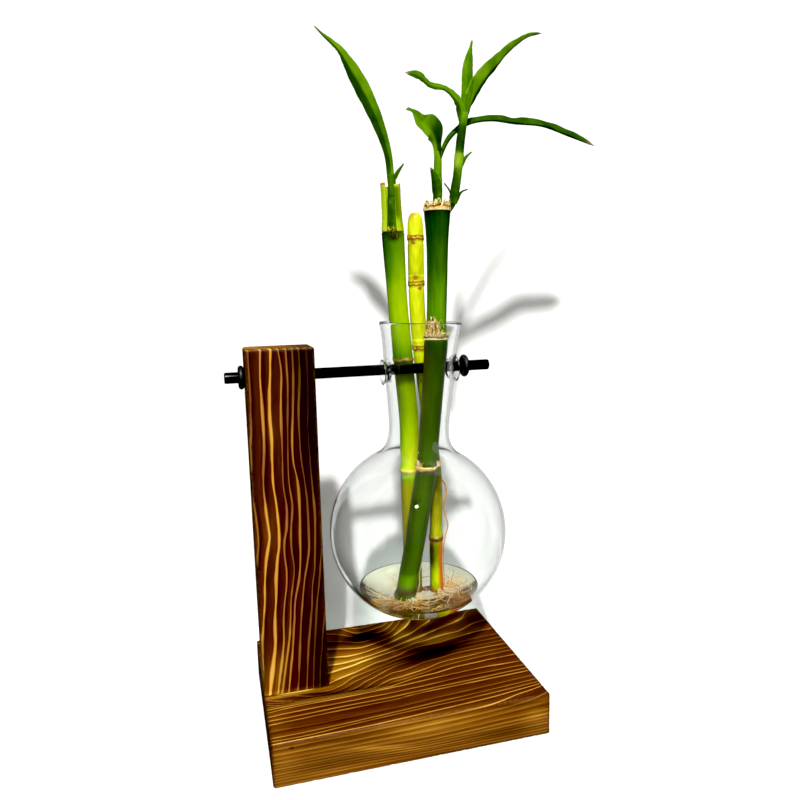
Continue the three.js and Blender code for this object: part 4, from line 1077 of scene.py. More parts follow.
# paleness up each cane; on the left one the dip between 165 and 182 is painted shadow, of the rod and above
# the upper scar
left_pale = smooth_through([
    [49, 0.5], [62, 0.5], [100, 0.5], [114, 0.55], [118, 0.94], [132, 0.84], [144, 0.68], [158, 0.6],
    [165, 0.42], [168, 0.2], [172, 0.36], [176, 0.5], [182, 0.66], [192, 0.74], [204, 0.64], [212, 0.46],
    [222, 0.3], [230, 0.2],
])
middle_pale = smooth_through([
    [50, 0.36], [58, 0.46], [66, 0.44], [69, 0.34], [74, 0.24], [80, 0.16], [84, 0.34], [92, 0.34],
    [100, 0.28], [112, 0.15], [120, 0.2], [160, 0.46], [175, 0.74], [188, 0.8], [205, 0.82], [210, 0.72],
    [216, 0.74], [228, 0.84], [238, 0.9],
])
front_pale = smooth_through([
    [50, 0.66], [56, 0.6], [59, 0.4], [61, 0.5], [63, 0.76], [68, 0.74], [70, 0.42], [80, 0.31],
    [100, 0.28], [115, 0.25], [119, 0.2], [124, 0.36], [132, 0.38], [145, 0.34], [165, 0.3], [178, 0.24],
    [184, 0.7], [194, 0.78], [204, 0.66], [214, 0.48], [226, 0.36], [234, 0.26], [238, 0.1],
])


def left_tone(z, a):
    side = 0.14 + 0.12 * step_up(z, 200, 215)
    return left_pale(z) + side * lit_side(a, -25) + 0.05 * mottle(31, 30, a, 12, z * 0.4)


def middle_tone(z, a):
    low = 1 - step_up(z, 78, 96)
    return middle_pale(z) + (0.1 + 0.16 * low) * lit_side(a, -60) + 0.13 * mottle(32, 12, a, 9, z * 0.6)


def front_tone(z, a):
    # a painted highlight down the front of the cane, stronger above the wrap
    highlight = strip_at(a, -85, 38)
    edge = strip_at(a, -18, 30)
    return (front_pale(z) - 0.1 + (0.12 + 0.08 * step_up(z, 170, 184)) * highlight - 0.08 * edge
            + 0.05 * mottle(33, 30, a, 13, z * 0.3) + 0.06 * mottle(34, 3, a, 8, z * 0.06))


def left_aged(z, a):
    return 0.95 * (1 - step_up(z, 108, 117)) + 0.25 * hump(z, 150, 14) + 0.3 * hump(z, 165, 5)


def middle_aged(z, a):
    foot = 1 - step_up(z, 76, 84)
    right = step_up(lit_side(a, -18), 0.1, 0.75)
    dome = hump(z, 238, 2.5) * step_up(lit_side(a, -160), 0.0, 0.8)
    return 0.95 * foot * right + 0.85 * hump(z, 50.5, 3.5) + 0.6 * dome + 0.2 * hump(z, 95, 20)


def front_aged(z, a):
    left = step_up(lit_side(a, 170), 0.2, 0.9)
    in_glass = 1 - step_up(z, 172, 184)
    return (0.2 + 0.2 * left * step_up(z, 120, 145)) * in_glass + 0.75 * hump(z, 60, 1.8)


def left_stain_and_shade(z, a):
    """Brown fibres under the shoot, painted shadow by the rod and upper scar, and a bruise by the lower."""
    fibrous = strip_at(a, -103, 12 + 11 * np.clip(z - 225.5, 0, 4)) * step_up(z, 224.5, 227.5)
    # painted shadows: the rod's under the upper scar, with the thin band at 169.2, and a patch above that
    # scar on the left
    painted_shadows = strip_at(a, -108,
                         75) * (0.75 * hump(z, 166, 2.4) + 0.3 * hump(z, 177, 4) * strip_at(a, -165, 40))
    return (0.95 * fibrous + painted_shadows + 0.35 * hump(z, 169.2, 1.1)
            + 0.25 * strip_at(a, 165, 30) * (1 - step_up(z, 100, 116))
            + 0.5 * strip_at(a, -160, 12) * hump(z, 112, 2.5))


def middle_stain(z, a):
    edge = strip_at(a, 165, 24) + 0.2 * strip_at(a, -30, 25)
    low = 1 - step_up(z, 112, 118)
    foot = strip_at(a, 212, 55) * (1 - step_up(z, 78, 82)) * step_up(z, 66, 72)
    shade = 0.4 * strip_at(a, -25, 30) * step_up(z, 182, 186) * (1 - step_up(z, 200, 205))
    upper = 0.3 * strip_at(a, 175, 30) * step_up(z, 205, 210) * (1 - step_up(z, 222, 228))
    return 0.9 * low * edge * step_up(z, 83, 86) + 0.8 * foot + 0.9 * hump(z, 82.2, 0.8) + shade + upper


def front_stain(z, a):
    return (0.45 * hump(z, 237.5, 1.6) + 0.7 * hump(z, 59.8, 1.4) + 0.5 * hump(z, 118.6, 0.6)
            + 0.35 * strip_at(a, -18, 22) * step_up(z, 150, 165) * (1 - step_up(z, 178, 182)))


make_cane("cane_left", LEFT_CANE, left_skin, "lime_cane", (left_tone, left_aged, left_stain_and_shade), seed=51,
          patches=[(229.2, -100, 0.6, 1.2)])
make_cane("cane_middle", MIDDLE_CANE, middle_skin, "yellow_cane", (middle_tone, middle_aged, middle_stain),
          seed=61, ring_width=1.0, twin=True,
          patches=[(209.4, -112, 1.7, 1.5), (225.2, -130, 1.4, 1.6), (204.2, -80, 1.0, 1.2)])
make_cane("cane_front", FRONT_CANE, front_skin, "dark_cane", (front_tone, front_aged, front_stain), seed=71,
          ring_width=0.7)


# Leafy shoots

BLADE_TIP = 0.45


def add_blade(shape, spine, faces, widths, fold, tones, thickness=0.55, rows=72, columns=17, ripple=0.0,
              seed=1, dry_from=0.93, uneven=(1, 1), shaded=0.0, underside_shade=0.0):
    """A folded blade. faces lists the way its upper side looks; tones are left half, right half, underside.

    uneven says how much wider than even its two halves are, shaded how much painted shade darkens the right
    one's foot, and underside_shade how much painted shade darkens the underside's left half against its
    right one. The tones of the two halves carry painted light and painted shade.
    """
    line, way = curve_through(spine, rows)
    t = np.linspace(0, 1, rows)
    looks = unit(np.array(faces, float))
    place = t * (len(looks) - 1)
    first = np.minimum(place.astype(int), len(looks) - 2)
    look = looks[first] + (looks[first + 1] - looks[first]) * (place - first)[:, None]
    side = unit(np.cross(way, look))
    normal = unit(np.cross(side, way))[:, None]
    t = t[:, None]
    across = np.linspace(-1, 1, columns)[None]
    point = step_up(t, 0.965, 1.0)
    half = np.maximum(smooth_through(widths)(t), BLADE_TIP) * (1 - 0.8 * point)
    reach = across * np.where(across < 0, *uneven)
    bent = np.sqrt(reach ** 2 + 0.02) - np.sqrt(0.02)
    up = half * bent * np.sin(fold)
    up = up + ripple * np.abs(across) ** 3 * wobble(seed, 14, t * 80 + 20 * np.sign(across))
    middle = line[:, None] + side[:, None] * (half * reach * np.cos(fold))[..., None]
    middle = middle + normal * up[..., None]
    thick = thickness / 2 * (1 - 0.72 * np.abs(across) ** 4) * (1 - 0.5 * point)
    thick = normal * (thick + 0.16 * hump(across, 0, 0.09) * (1 - t))[..., None]
    left = 0.5 - 0.5 * np.tanh(across / 0.12)
    # the halves' tones are painted light and painted shade; shaded darkens the right half's foot as painted
    # shade
    top_tone = left * tones[0] + (1 - left) * tones[1] + 0.05 * wobble(seed, 30, t * 70, across * 6)
    top_tone = top_tone - shaded * (1 - left) * (1 - step_up(t, 0.35, 0.6))
    under_tone = tones[2] + underside_shade * (0.5 - left) + 0.05 * wobble(seed + 1, 30, t * 70, across * 6)
    dry = step_up(t, dry_from, 1.0) + 0 * across
    shape.add([middle + thick, middle - thick], sheet_faces(rows, columns),
              tone=np.stack([top_tone, under_tone]) + 0.12 * (1 - step_up(t, 0.0, 0.2)),
              across=np.tile(across.ravel(), 2 * rows), dry=[dry, dry])


def add_scale_leaf(shape, spine, face, half, tones, seed=1):
    widths = [[0, 0.85 * half], [0.3, half], [0.7, 0.65 * half], [1, 0.3]]
    add_blade(shape, spine, [face, face], widths, fold=0.35, tones=tones, thickness=0.5, rows=26, columns=9,
              ripple=0.0, seed=seed, dry_from=0.88)


def add_stalk(shape, points, radii, tones, seed, joints=()):
    """A stem wrapped in its own leaf bases, each ending at a joint as a slight step."""
    line, _ = curve_through(points, 70)
    z = line[:, 2]
    radius = smooth_through(radii)(z)
    tone = smooth_through(tones)(z)
    for joint in joints:
        radius = radius + 0.2 * step_up(-z, -joint, -joint + 0.6) * step_up(z, joint - 9, joint)
        tone = tone - 0.12 * hump(z, joint + 0.4, 0.6)
    points, faces = tube(line, radius, sides=24)
    ring_tone = np.repeat(tone, 24) + 0.08 * wobble(seed, 9, *points.T * np.array([[1], [1], [0.25]]))
    shape.add(points, faces, tone=ring_tone, across=0.0, dry=0.0)


def left_shoot():
    shape = Shape()
    add_stalk(shape, [[8.6, 9.5, 230.5], [8.7, 9.4, 245], [8.8, 9.1, 256]],
              [[230.5, 2.2], [245, 2.05], [256, 1.7]],
              tones=[[230, 0.95], [233, 0.7], [238, 0.45], [256, 0.4]], seed=81, joints=(246,))
    add_blade(shape, [[8.9, 7.4, 231.2], [8.4, 6.9, 238], [6.9, 6.5, 244]],
              [[-0.3, -1, 0.1], [-0.3, -1, 0.1]], [[0, 1.7], [0.35, 2.7], [0.7, 2.1], [1, 0.5]], fold=0.5,
              tones=(0.3, 0.4, 0.4), rows=30, columns=11, seed=181, dry_from=0.97)
    add_blade(shape, [
        [8.8, 9.0, 252], [7.4, 8.2, 264.4], [3.1, 6.8, 276.6], [-2.8, 5.2, 287.9],
        [-9.5, 3.0, 297.6], [-16.0, 0.4, 305.8], [-21.9, -2.2, 309.5], [-26.8, -5.0, 312.8],
    ], [[-0.4, -0.9, 0.1], [0.1, -0.9, 0.2], [0.55, -0.65, 0.5]],
        [[0, 1.5], [0.2, 1.8], [0.45, 3.35], [0.65, 4.4], [0.85, 2.3], [1, BLADE_TIP]],
        fold=0.42, tones=(0.2, 0.64, 0.6), ripple=0.25, seed=82, uneven=(1.4, 0.95), shaded=0.15)
    add_scale_leaf(shape, [[9.2, 8.6, 253], [11.4, 7.5, 257], [14.0, 6.5, 260.7]], [-0.5, -0.8, 0.3],
                   half=1.2, tones=(0.3, 0.3, 0.4), seed=83)
    shape.finish("leafy_shoot_left_blade", leaf, "vase", "leaf", "leafy_shoot_left")


def front_shoot():
    shape = Shape()
    add_stalk(shape, [[24.2, -10.4, 238.6], [24.4, -10.5, 251], [24.9, -10.3, 263]],
              [[238.6, 2.05], [251, 1.9], [263, 1.6]], tones=[[238, 0.58], [250, 0.55], [263, 0.66]],
              seed=84, joints=(252,))
    add_blade(shape, [
        [24.7, -10.6, 260], [23.8, -12.0, 266.0], [21.5, -13.5, 270.3], [15.5, -15.0, 273.8],
        [11.6, -16.5, 277.7], [8.5, -18.0, 278.1],
    ], [[-0.5, -0.85, 0.1], [-0.2, -0.85, 0.3], [-0.1, -0.8, 0.6]],
        [[0, 1.65], [0.25, 2.5], [0.5, 6.1], [0.7, 3.7], [0.88, 1.3], [1, 0.7]],
        fold=0.5, tones=(0.6, 0.58, 0.5), ripple=0.3, seed=85, shaded=0.42)
    add_blade(shape, [
        [25.6, -9.8, 259], [30.9, -8.6, 268.5], [39.3, -7.0, 275.1], [52.0, -3.5, 278.4],
        [67.0, 1.5, 278.7], [83.4, 7.5, 279.5], [99.6, 11.5, 276.4], [116.2, 15.5, 273.0],
    ], [[-0.9, -0.3, 0.4], [-0.2, -0.72, 1], [0.1, -0.75, 1], [0.3, -0.85, 0.8]],
        [[0, 1.4], [0.25, 3.0], [0.5, 4.0], [0.75, 4.0], [0.9, 3.4], [1, BLADE_TIP]],
        fold=0.5, tones=(0.28, 0.04, 0.2), ripple=0.4, seed=86)
    add_scale_leaf(shape, [[23.8, -12.0, 243.5], [22.6, -13.0, 250], [20.2, -13.8, 255.8]], [-0.1, -1, 0.2],
                   half=2.5, tones=(0.12, 0.3, 0.3), seed=87)
    shape.finish("leafy_shoot_front_blades", leaf, "vase", "leaf", "leafy_shoot_front")


def right_shoot():
    shape = Shape()
    add_stalk(shape, [
        [28.2, -10.6, 236.6], [29.6, -11.3, 238.6], [31.1, -12.3, 243], [32.1, -12.8, 248.2],
        [32.9, -13.0, 254.1], [34.4, -13.0, 267.2], [35.4, -13.0, 273.5], [36.4, -12.8, 279],
    ], [[236.6, 0.8], [239, 1.35], [243, 1.85], [248, 1.9], [267, 1.9], [279, 1.7]],
        tones=[[236, 0.3], [246, 0.4], [254, 0.45], [257.5, 0.75], [261, 0.72], [264, 0.2], [271, 0.16],
               [275, 0.5], [279, 0.6]], seed=88, joints=(246, 262))
    add_blade(shape, [
        [35.4, -13.0, 276], [33.2, -14.0, 282.2], [26.6, -15.6, 287.3], [19.4, -17.2, 288.1],
        [14.2, -19.0, 290.9], [8.0, -20.0, 292.0],
    ], [[-0.3, -0.8, 0.5], [-0.1, -0.75, 0.7], [0, -0.85, 0.6], [0.2, -0.95, 0.3]],
        [[0, 1.9], [0.3, 2.7], [0.5, 2.2], [0.7, 2.1], [0.83, 2.5], [0.94, 1.1], [1, BLADE_TIP]],
        fold=0.3, tones=(0.28, 0.56, 0.25), ripple=0.3, seed=89)
    add_blade(shape, [
        [36.4, -13.0, 276], [36.6, -12.8, 283.1], [37.7, -12.2, 289.7], [38.4, -11.0, 296.6],
        [40.1, -9.5, 303.6], [42.5, -7.0, 311.1],
    ], [[0.25, -1, 0.0], [0.25, -1, 0.0]],
        [[0, 1.45], [0.2, 2.3], [0.45, 3.1], [0.7, 2.3], [0.88, 0.8], [1, BLADE_TIP]],
        fold=0.2, tones=(0.56, 0.4, 0.5), ripple=0.15, seed=90)
    add_blade(shape, [
        [37.2, -12.4, 276], [40.0, -11.0, 283.7], [44.7, -9.0, 290.9], [50.1, -7.0, 297.6],
        [56.1, -4.5, 303.4], [61.9, -2.0, 309.3], [68.1, 0.0, 314.1], [74.5, 2.5, 318.1],
        [81.7, 5.0, 320.3],
    ], [[-0.6, 0.7, 0.4], [-0.5, 0.6, 0.5], [-0.4, 0.4, 0.7]],
        [[0, 1.6], [0.2, 5.3], [0.45, 4.2], [0.65, 2.9], [0.85, 1.5], [1, BLADE_TIP]],
        fold=0.4, tones=(0.66, 0.66, 0.4), ripple=0.25, seed=91, uneven=(1.3, 1.05), underside_shade=0.4)
    for spine, face, half, tones in (
        ([[30.7, -13.6, 240.5], [30.7, -15.0, 248], [31.4, -15.2, 255.6]], [-0.3, -1, 0.1], 1.9,
         (0.2, 0.3, 0.3)),
        ([[33.6, -13.4, 255], [36.4, -13.7, 260], [39.3, -14.0, 262.6]], [-0.4, -0.8, 0.55], 1.1,
         (0.4, 0.3, 0.3)),
        ([[32.0, -13.0, 241], [34.4, -13.5, 245.4], [37.3, -14.0, 246.7]], [-0.25, -0.55, 0.85], 0.9,
         (0.3, 0.3, 0.3)),
        ([[30.6, -12.9, 241.5], [28.4, -14.0, 246.3], [25.9, -14.6, 249.1]], [0.4, -0.8, 0.5], 0.8,
         (0.3, 0.3, 0.3)),
    ):
        add_scale_leaf(shape, spine, face, half, tones, seed=92)
    shape.finish("leafy_shoot_right_blades", leaf, "vase", "leaf", "leafy_shoot_right")


left_shoot()
front_shoot()
right_shoot()


# Dry sheaths, husks and frayed collars

def add_torn_skin(shape, centre, radius, low, top, tone, seed, angles=ROUND, wall=0.35, rows=10, sides=120,
                  torn=0.55):
    """A thin skin round a cane. top(angle) is its torn edge's height, and torn says how uneven it is."""
    closed = angles is ROUND
    a = np.linspace(*angles, sides, endpoint=not closed)
    frayed = np.random.default_rng(seed).random(sides + 4)
    frayed = np.convolve(frayed, [0.15, 0.25, 0.2, 0.25, 0.15], "valid")
    t = np.linspace(0, 1, rows)[:, None]
    height = low + t * (top(a) * (1 + torn * (frayed - 0.5)))
    inner = radius(height) + 0.07 * mottle(seed, 3, a, 12, height)
    outer = inner + wall * (1 - 0.6 * t)
    value = tone(t, a[None]) + 0.18 * (frayed - 0.5)
    shape.add([beside_centre(centre, height, away, a) for away in (outer, inner)],
              sheet_faces(rows, sides, closed),
              tone=[value, value])


def out_and_beside(angle):
    return np.array([np.cos(angle), np.sin(angle), 0]), np.array([-np.sin(angle), np.cos(angle), 0])


def add_shreds(shape, centre, low, count, reach, seed, radius, tilt, length, width=0.5, tones=(0.45, 0.9)):
    """Loose torn fibres: thin tapering strips that stand up round a cane and curl."""
    rng = np.random.default_rng(seed)
    t = np.linspace(0, 1, 6)[:, None]
    for _ in range(count):
        out, beside = out_and_beside(rng.uniform(*reach))
        lean = rng.uniform(*tilt)
        long = rng.uniform(*length)
        start = centre(low + rng.uniform(-0.1, 0.4)) + out * radius * rng.uniform(0.93, 1.05)
        curl = rng.normal() * 0.7
        line = start + long * t * (out * np.sin(lean) + np.array([0, 0, np.cos(lean)]))
        line = line + beside * curl * t ** 2 + out * rng.normal() * 0.35 * t ** 2
        thick = width / 2 * rng.uniform(0.5, 1.2) * (1 - 0.75 * t.ravel())
        points, faces = tube(line, thick, sides=5, flat=0.45)
        shape.add(points, faces, tone=rng.uniform(*tones) - 0.3 * (1 - np.repeat(t.ravel(), 5)))


def add_fibres(shape, centre, radius, low, top, count, reach, seed, width=0.5, tones=(0.1, 1.0), lift=0.5):
    """Torn fibres that lie up a cane, each a flat strip whose free end stands off a little."""
    rng = np.random.default_rng(seed)
    t = np.linspace(0, 1, 8)
    for _ in range(count):
        angle = rng.uniform(*reach)
        high = float(top(angle)) * rng.uniform(0.55, 1.12)
        start = rng.uniform(0, 0.35) * high
        turn = angle + rng.normal() * 0.12 * t ** 2 + 0.04 * np.sin(6 * t + rng.uniform(0, 6))
        z = low + start + (high - start) * t
        away = radius(z) + rng.uniform(0.1, 0.45) + lift * rng.random() ** 2 * t ** 2
        thick = width / 2 * rng.uniform(0.5, 1.3) * (1 - 0.6 * t ** 3)
        points, faces = tube(beside_centre(centre, z, away, turn), thick, sides=6, flat=0.55)
        shape.add(points, faces, tone=rng.uniform(*tones) + 0.12 * (np.repeat(t, 6) - 0.5))


def add_loops(shape, centre, low, count, reach, seed, radii, high, width=0.4, tones=(0.6, 1.0)):
    """Curled strands that rise from a rim, arch over and come down again."""
    rng = np.random.default_rng(seed)
    t = np.linspace(0, 1, 12)
    for _ in range(count):
        start = rng.uniform(*reach)
        turn = start + rng.choice([-1, 1]) * rng.uniform(0.2, 0.65) * t
        away = rng.uniform(*radii) + rng.normal() * 0.7 * np.sin(np.pi * t)
        z = low + rng.uniform(*high) * np.sin(np.pi * t * rng.uniform(0.7, 0.95))
        thick = width / 2 * rng.uniform(0.6, 1.3) * (1 - 0.4 * t)
        points, faces = tube(beside_centre(centre, z, away, turn), thick, sides=6, flat=0.7)
        shape.add(points, faces, tone=rng.uniform(*tones) + 0.1 * np.sin(np.repeat(t, 6) * 9))


def front_surface(z):
    return cane_radius(FRONT_CANE, z) + 0.1


def split_sheath():
    """The pale sheath left round the lowest part of the left shoot, open towards the front."""
    shape = Shape()
    gap = np.radians(27)
    middle = np.radians(-109)

    def radius(z):
        return 4.2 + 0.4 * hump(z, 231.5, 3) + 0.15 * step_up(z, 246, 252)

    def tone(t, a):
        side = np.cos(a - np.radians(200))
        rim = step_up(t, 0.925, 0.975)
        shaded = hump(a, middle + gap + 0.15, 0.4) * step_up(t, 0.15, 0.4)
        streaks = 0.1 * wobble(94, 1.2, a * 4, t * 2)
        foot = 1 - step_up(t, 0, 0.1)
        return 0.54 + 0.08 * side - 0.34 * shaded + 0.5 * rim + 0.24 * foot + streaks

    add_torn_skin(shape, left_centre, radius, low=230.35, top=lambda a: 21.5 + 0.5 * np.sin(a * 2 + 1),
                  tone=tone, seed=93, angles=(middle + gap, middle + 2 * np.pi - gap), wall=0.6, rows=50,
                  sides=150, torn=0.03)
    add_fibres(shape, left_centre, radius, low=230.3, top=lambda a: 2.2, count=26,
               reach=(middle - 0.9, middle + 0.9), seed=192, lift=0.2)
    for count, seed, tones in ((16, 193, (-0.3, 0.02)), (6, 196, (0.96, 1.15))):
        add_fibres(shape, left_centre, lambda z: cane_radius(LEFT_CANE, z) - 0.2, low=226.4,
                   top=lambda a: 3.4, count=count, reach=(middle - 0.25, middle + 0.45), seed=seed,
                   width=0.45, tones=tones, lift=0.1)
    shape.finish("sheath_left_skin", pale_husk, "vase", "pale_sheath", "sheath_left")


def top_collar():
    """Frayed fibres round the cut top of the front cane, and their curled loops."""
    shape = Shape()

    # painted shade: the skin darkens towards its torn top, between the fibres
    def tone(t, a):
        return 0.8 - 0.7 * step_up(t, 0.35, 0.9) + 0.14 * wobble(91, 2, a * 5, t * 2)

    def rim(z):
        return 5.75 + 0.25 * hump(z, 238.9, 0.5) - 0.45 * np.maximum(z - 239.2, 0)

    add_torn_skin(shape, front_centre, rim, low=237.7, top=lambda a: 2.4 + 0.3 * np.sin(3 * a), tone=tone,
                  seed=94, rows=9, sides=150)
    # a dark inner skin, painted shade in the gaps between the fibres
    add_torn_skin(shape, front_centre, lambda z: 3.4 + 0.1 * (z - 238), low=238.25,
                  top=lambda a: 1.6 + 0.2 * np.sin(2 * a), tone=lambda t, a: 0.1 + 0.1 * t + 0 * a, seed=98,
                  rows=5, sides=80)
    add_fibres(shape, front_centre, lambda z: 5.7 - 0.2 * (z - 238), low=238.2, top=lambda a: 2.4, count=70,
               reach=ROUND, seed=194, tones=(0.25, 1.05), lift=0.9)
    add_loops(shape, front_centre, 238.9, count=44, reach=ROUND, seed=95, radii=(3.8, 5.6), high=(2.1, 3.8),
              width=0.7, tones=(0.8, 1.25))
    add_loops(shape, front_centre, 238.6, count=26, reach=ROUND, seed=96, radii=(3.2, 5.4), high=(1.0, 2.2),
              width=0.5, tones=(0.0, 0.45))
    add_shreds(shape, front_centre, 238.6, count=40, reach=ROUND, seed=97, radius=4.7, tilt=(-0.5, 0.35),
               length=(1.6, 3.4), width=0.6, tones=(0.55, 1.15))
    shape.finish("dry_collar_top_frayed", husk, "vase", "dry_sheath", "dry_collar_top")


def middle_wrap():
    """A sheath's rest above the front cane's upper scar: a pale rim, and fibres up the side in view."""
    shape = Shape()
    low = 182.5

    def height(a):
        return 1.2 + 7.2 * np.exp(-(np.sin((a - np.radians(-128)) / 2) / 0.27) ** 2)

    def tone(t, a):
        rim = 1 - step_up(t * height(a), 0.9, 1.5)
        return 0.2 + 0.75 * rim + 0.2 * wobble(17, 1.5, a * 6, t * 3)

    add_torn_skin(shape, front_centre, front_surface, low, height, tone, seed=97, rows=16, sides=170,
                  wall=0.3, torn=0.8)
    add_fibres(shape, front_centre, front_surface, low, height, count=120, reach=np.radians([-185, -70]),
               seed=98, width=0.5, tones=(0.05, 1.1), lift=0.8)
    add_fibres(shape, front_centre, front_surface, low, top=lambda a: 1.5, count=70, reach=ROUND, seed=99,
               width=0.45, tones=(0.35, 1.0), lift=0.3)
    add_loops(shape, front_centre, low + 3.6, count=12, reach=np.radians([-150, -100]), seed=197,
              radii=(5.0, 5.6), high=(2.0, 4.2))
    add_loops(shape, front_centre, low + 0.2, count=16, reach=np.radians([-190, -10]), seed=198,
              radii=(5.4, 5.9), high=(0.5, 1.6), width=0.35)
    add_torn_skin(shape, front_centre, front_surface, low=low - 1.5,
                  top=lambda a: 0.7 + 0.2 * np.sin(5 * a), tone=lambda t, a: 0.95 + 0 * a * t, seed=199,
                  rows=5, sides=150, wall=0.22)
    shape.finish("dry_wrap_middle_torn", husk, "vase", "dry_sheath", "dry_wrap_middle")


def low_wrap():
    """A thin pale rim with a few fine fibres at the front cane's lower scar."""
    shape = Shape()
    low = 120.7
    add_torn_skin(shape, front_centre, front_surface, low, top=lambda a: 0.5 + 0.2 * np.sin(2 * a),
                  tone=lambda t, a: 0.8 - 0.5 * t + 0 * a, seed=100, rows=6, sides=150, wall=0.14)
    add_fibres(shape, front_centre, front_surface, low, top=lambda a: 3.2, count=9,
               reach=np.radians([-170, -130]), seed=101, width=0.26, tones=(0.6, 1.0))
    add_fibres(shape, front_centre, front_surface, low=low - 0.8, top=lambda a: 1.5, count=30, reach=ROUND,
               seed=102, width=0.26, tones=(0.3, 0.9), lift=0.35)
    add_loops(shape, front_centre, low, count=10, reach=np.radians([-40, 10]), seed=103, radii=(5.2, 5.8),
              high=(0.5, 2.2), width=0.26)
    shape.finish("dry_wrap_low_torn", husk, "vase", "dry_sheath", "dry_wrap_low")


split_sheath()
top_collar()
middle_wrap()
low_wrap()


# Roots

ROOTS_REACH = 26.5


def root_floor(x, y, rise):
    away = np.hypot(x - BULB_X, y)
    radius = BULB_BORE - 0.45 - rise
    return BULB_Z - np.sqrt(np.maximum(radius ** 2 - away ** 2, 1))


def add_strand(shape, line, thick, tone, thin_end=0.35, sides=7, count=40):
    path, _ = curve_through(line, count)
    t = np.linspace(0, 1, count)
    points, faces = tube(path, thick * (1 - (1 - thin_end) * t), sides)
    shape.add(points, faces, tone=np.repeat(tone + 0.18 * t, sides))


def add_root_mass(shape, foot, crown, directions, strands, reach, thick, seed):
    """Strands that leave a cane's foot and wander over the floor of the bulb."""
    rng = np.random.default_rng(seed)
    for _ in range(strands):
        direction = np.radians(rng.uniform(*directions))
        length = rng.uniform(0.45, 1.0) * reach
        bend = rng.normal() * 0.9
        wave, turns, phase = rng.uniform(0.3, 1.6), rng.uniform(4, 11), rng.uniform(0, 6.28)
        rise = rng.uniform(0.3, 3.4)
        line = []
        for t in np.linspace(0, 1, 9):
            away = crown * rng.uniform(0.72, 0.8) if t == 0 else crown + t * length
            turn = direction + bend * t ** 1.5 + wave * np.sin(turns * t + phase) / (away + 2)
            x = foot[0] + away * np.cos(turn)
            y = foot[1] + away * np.sin(turn)
            out = np.hypot(x - BULB_X, y)
            if out > ROOTS_REACH:
                x = BULB_X + (x - BULB_X) * ROOTS_REACH / out
                y = y * ROOTS_REACH / out
            z = root_floor(x, y, rise * np.sin(np.pi * min(t * 1.1, 1)) + 0.5 * abs(np.sin(turns * t)))
            line.append([x, y, max(z, foot[2] + 0.6) if t == 0 else min(z, WATER_Z - 0.8)])
        pale = rng.random() ** 0.8
        add_strand(shape, line, thick=rng.uniform(*thick), tone=0.2 + 0.75 * pale)


def add_crown(shape, foot, crown, directions, count, seed):
    """Short thick pale roots that spring from a cane's foot."""
    rng = np.random.default_rng(seed)
    for _ in range(count):
        out, beside = out_and_beside(np.radians(rng.uniform(*directions)))
        start = foot + out * (crown - 0.3) + [0, 0, rng.uniform(1.0, 5.5)]
        long = rng.uniform(2.0, 5.5)
        drop = rng.uniform(0.1, 0.6)
        line = []
        for t in (0, 0.3, 0.6, 1.0):
            sideways = beside * rng.normal() * 0.7 * t
            point = start + out * long * t + sideways - np.array([0, 0, drop * long * t * t])
            point[2] = max(point[2], root_floor(point[0], point[1], 0.2))
            line.append(point)
        add_strand(shape, line, thick=rng.uniform(0.22, 0.42), tone=rng.uniform(0.72, 1.0), thin_end=0.5,
                   sides=8, count=16)


def root_piece(node, cane, directions, strands, reach, thick, seed, crown_directions=ROUND, crown_roots=0,
               single=()):
    """A cane's root ring, its wandering strands, the thick roots of its crown and its single long ones."""
    shape = Shape()
    foot = np.array(cane["points"][0], float)
    crown = cane["radii"][0][1]
    add_torn_skin(shape, cane_centre(cane), lambda z: crown + 0.08 + 0 * z, low=foot[2] + 0.3,
                  top=lambda a: 1.9 + 0.6 * np.sin(3 * a),
                  tone=lambda t, a: 0.35 + 0.1 * np.sin(4 * a) + 0 * t, seed=seed + 1, wall=0.5, rows=6,
                  sides=60)
    add_root_mass(shape, foot, crown, directions, strands, reach, thick, seed)
    add_crown(shape, foot, crown, crown_directions, crown_roots, seed + 2)
    for line, thick, tone in single:
        add_strand(shape, line, thick, tone, thin_end=0.6, sides=10, count=90)
    shape.finish(node + "_strands", root_skin, "vase", "root", node)


# the middle cane's long root: [height, mm to the right of the cane's centre]
LONG_ROOT = [
    [111, 3.4], [108, 4.9], [103.5, 5.2], [100, 4.1], [96, 3.9], [92.5, 4.9], [88, 6.2], [84, 5.2],
    [79, 4.2], [74, 3.9], [69, 3.8], [64, 3.9], [58, 3.9], [51.2, 3.85],
]
# the front cane's hanging rootlet: [height, mm to the right, mm to the back]
ROOTLET = [[84, 5.0, 1.2], [80, 5.9, 1.6], [76, 5.6, 1.0], [72, 6.4, 1.8], [67, 6.0, 1.4], [62, 6.9, 1.8],
           [57, 6.6, 1.0], [53, 7.4, 1.6]]
long_root = [(middle_centre(z) + np.array([x, 0, 0])).tolist() for z, x in LONG_ROOT]
rootlet = [(front_centre(z) + np.array([x, y, 0])).tolist() for z, x, y in ROOTLET]
root_piece("roots_left", LEFT_CANE, directions=(40, 160), strands=18, reach=17, thick=(0.14, 0.3), seed=101)
root_piece("roots_front", FRONT_CANE, directions=(195, 335), strands=64, reach=17, thick=(0.16, 0.42),
           seed=111, crown_directions=(160, 410), crown_roots=34, single=[(rootlet, 0.22, 0.95)])
root_piece("roots_middle", MIDDLE_CANE, directions=(-110, 75), strands=60, reach=19, thick=(0.16, 0.4),
           seed=121, crown_directions=(-100, 20), crown_roots=18, single=[(long_root, 0.34, 0.42)])


# Floor, light and camera

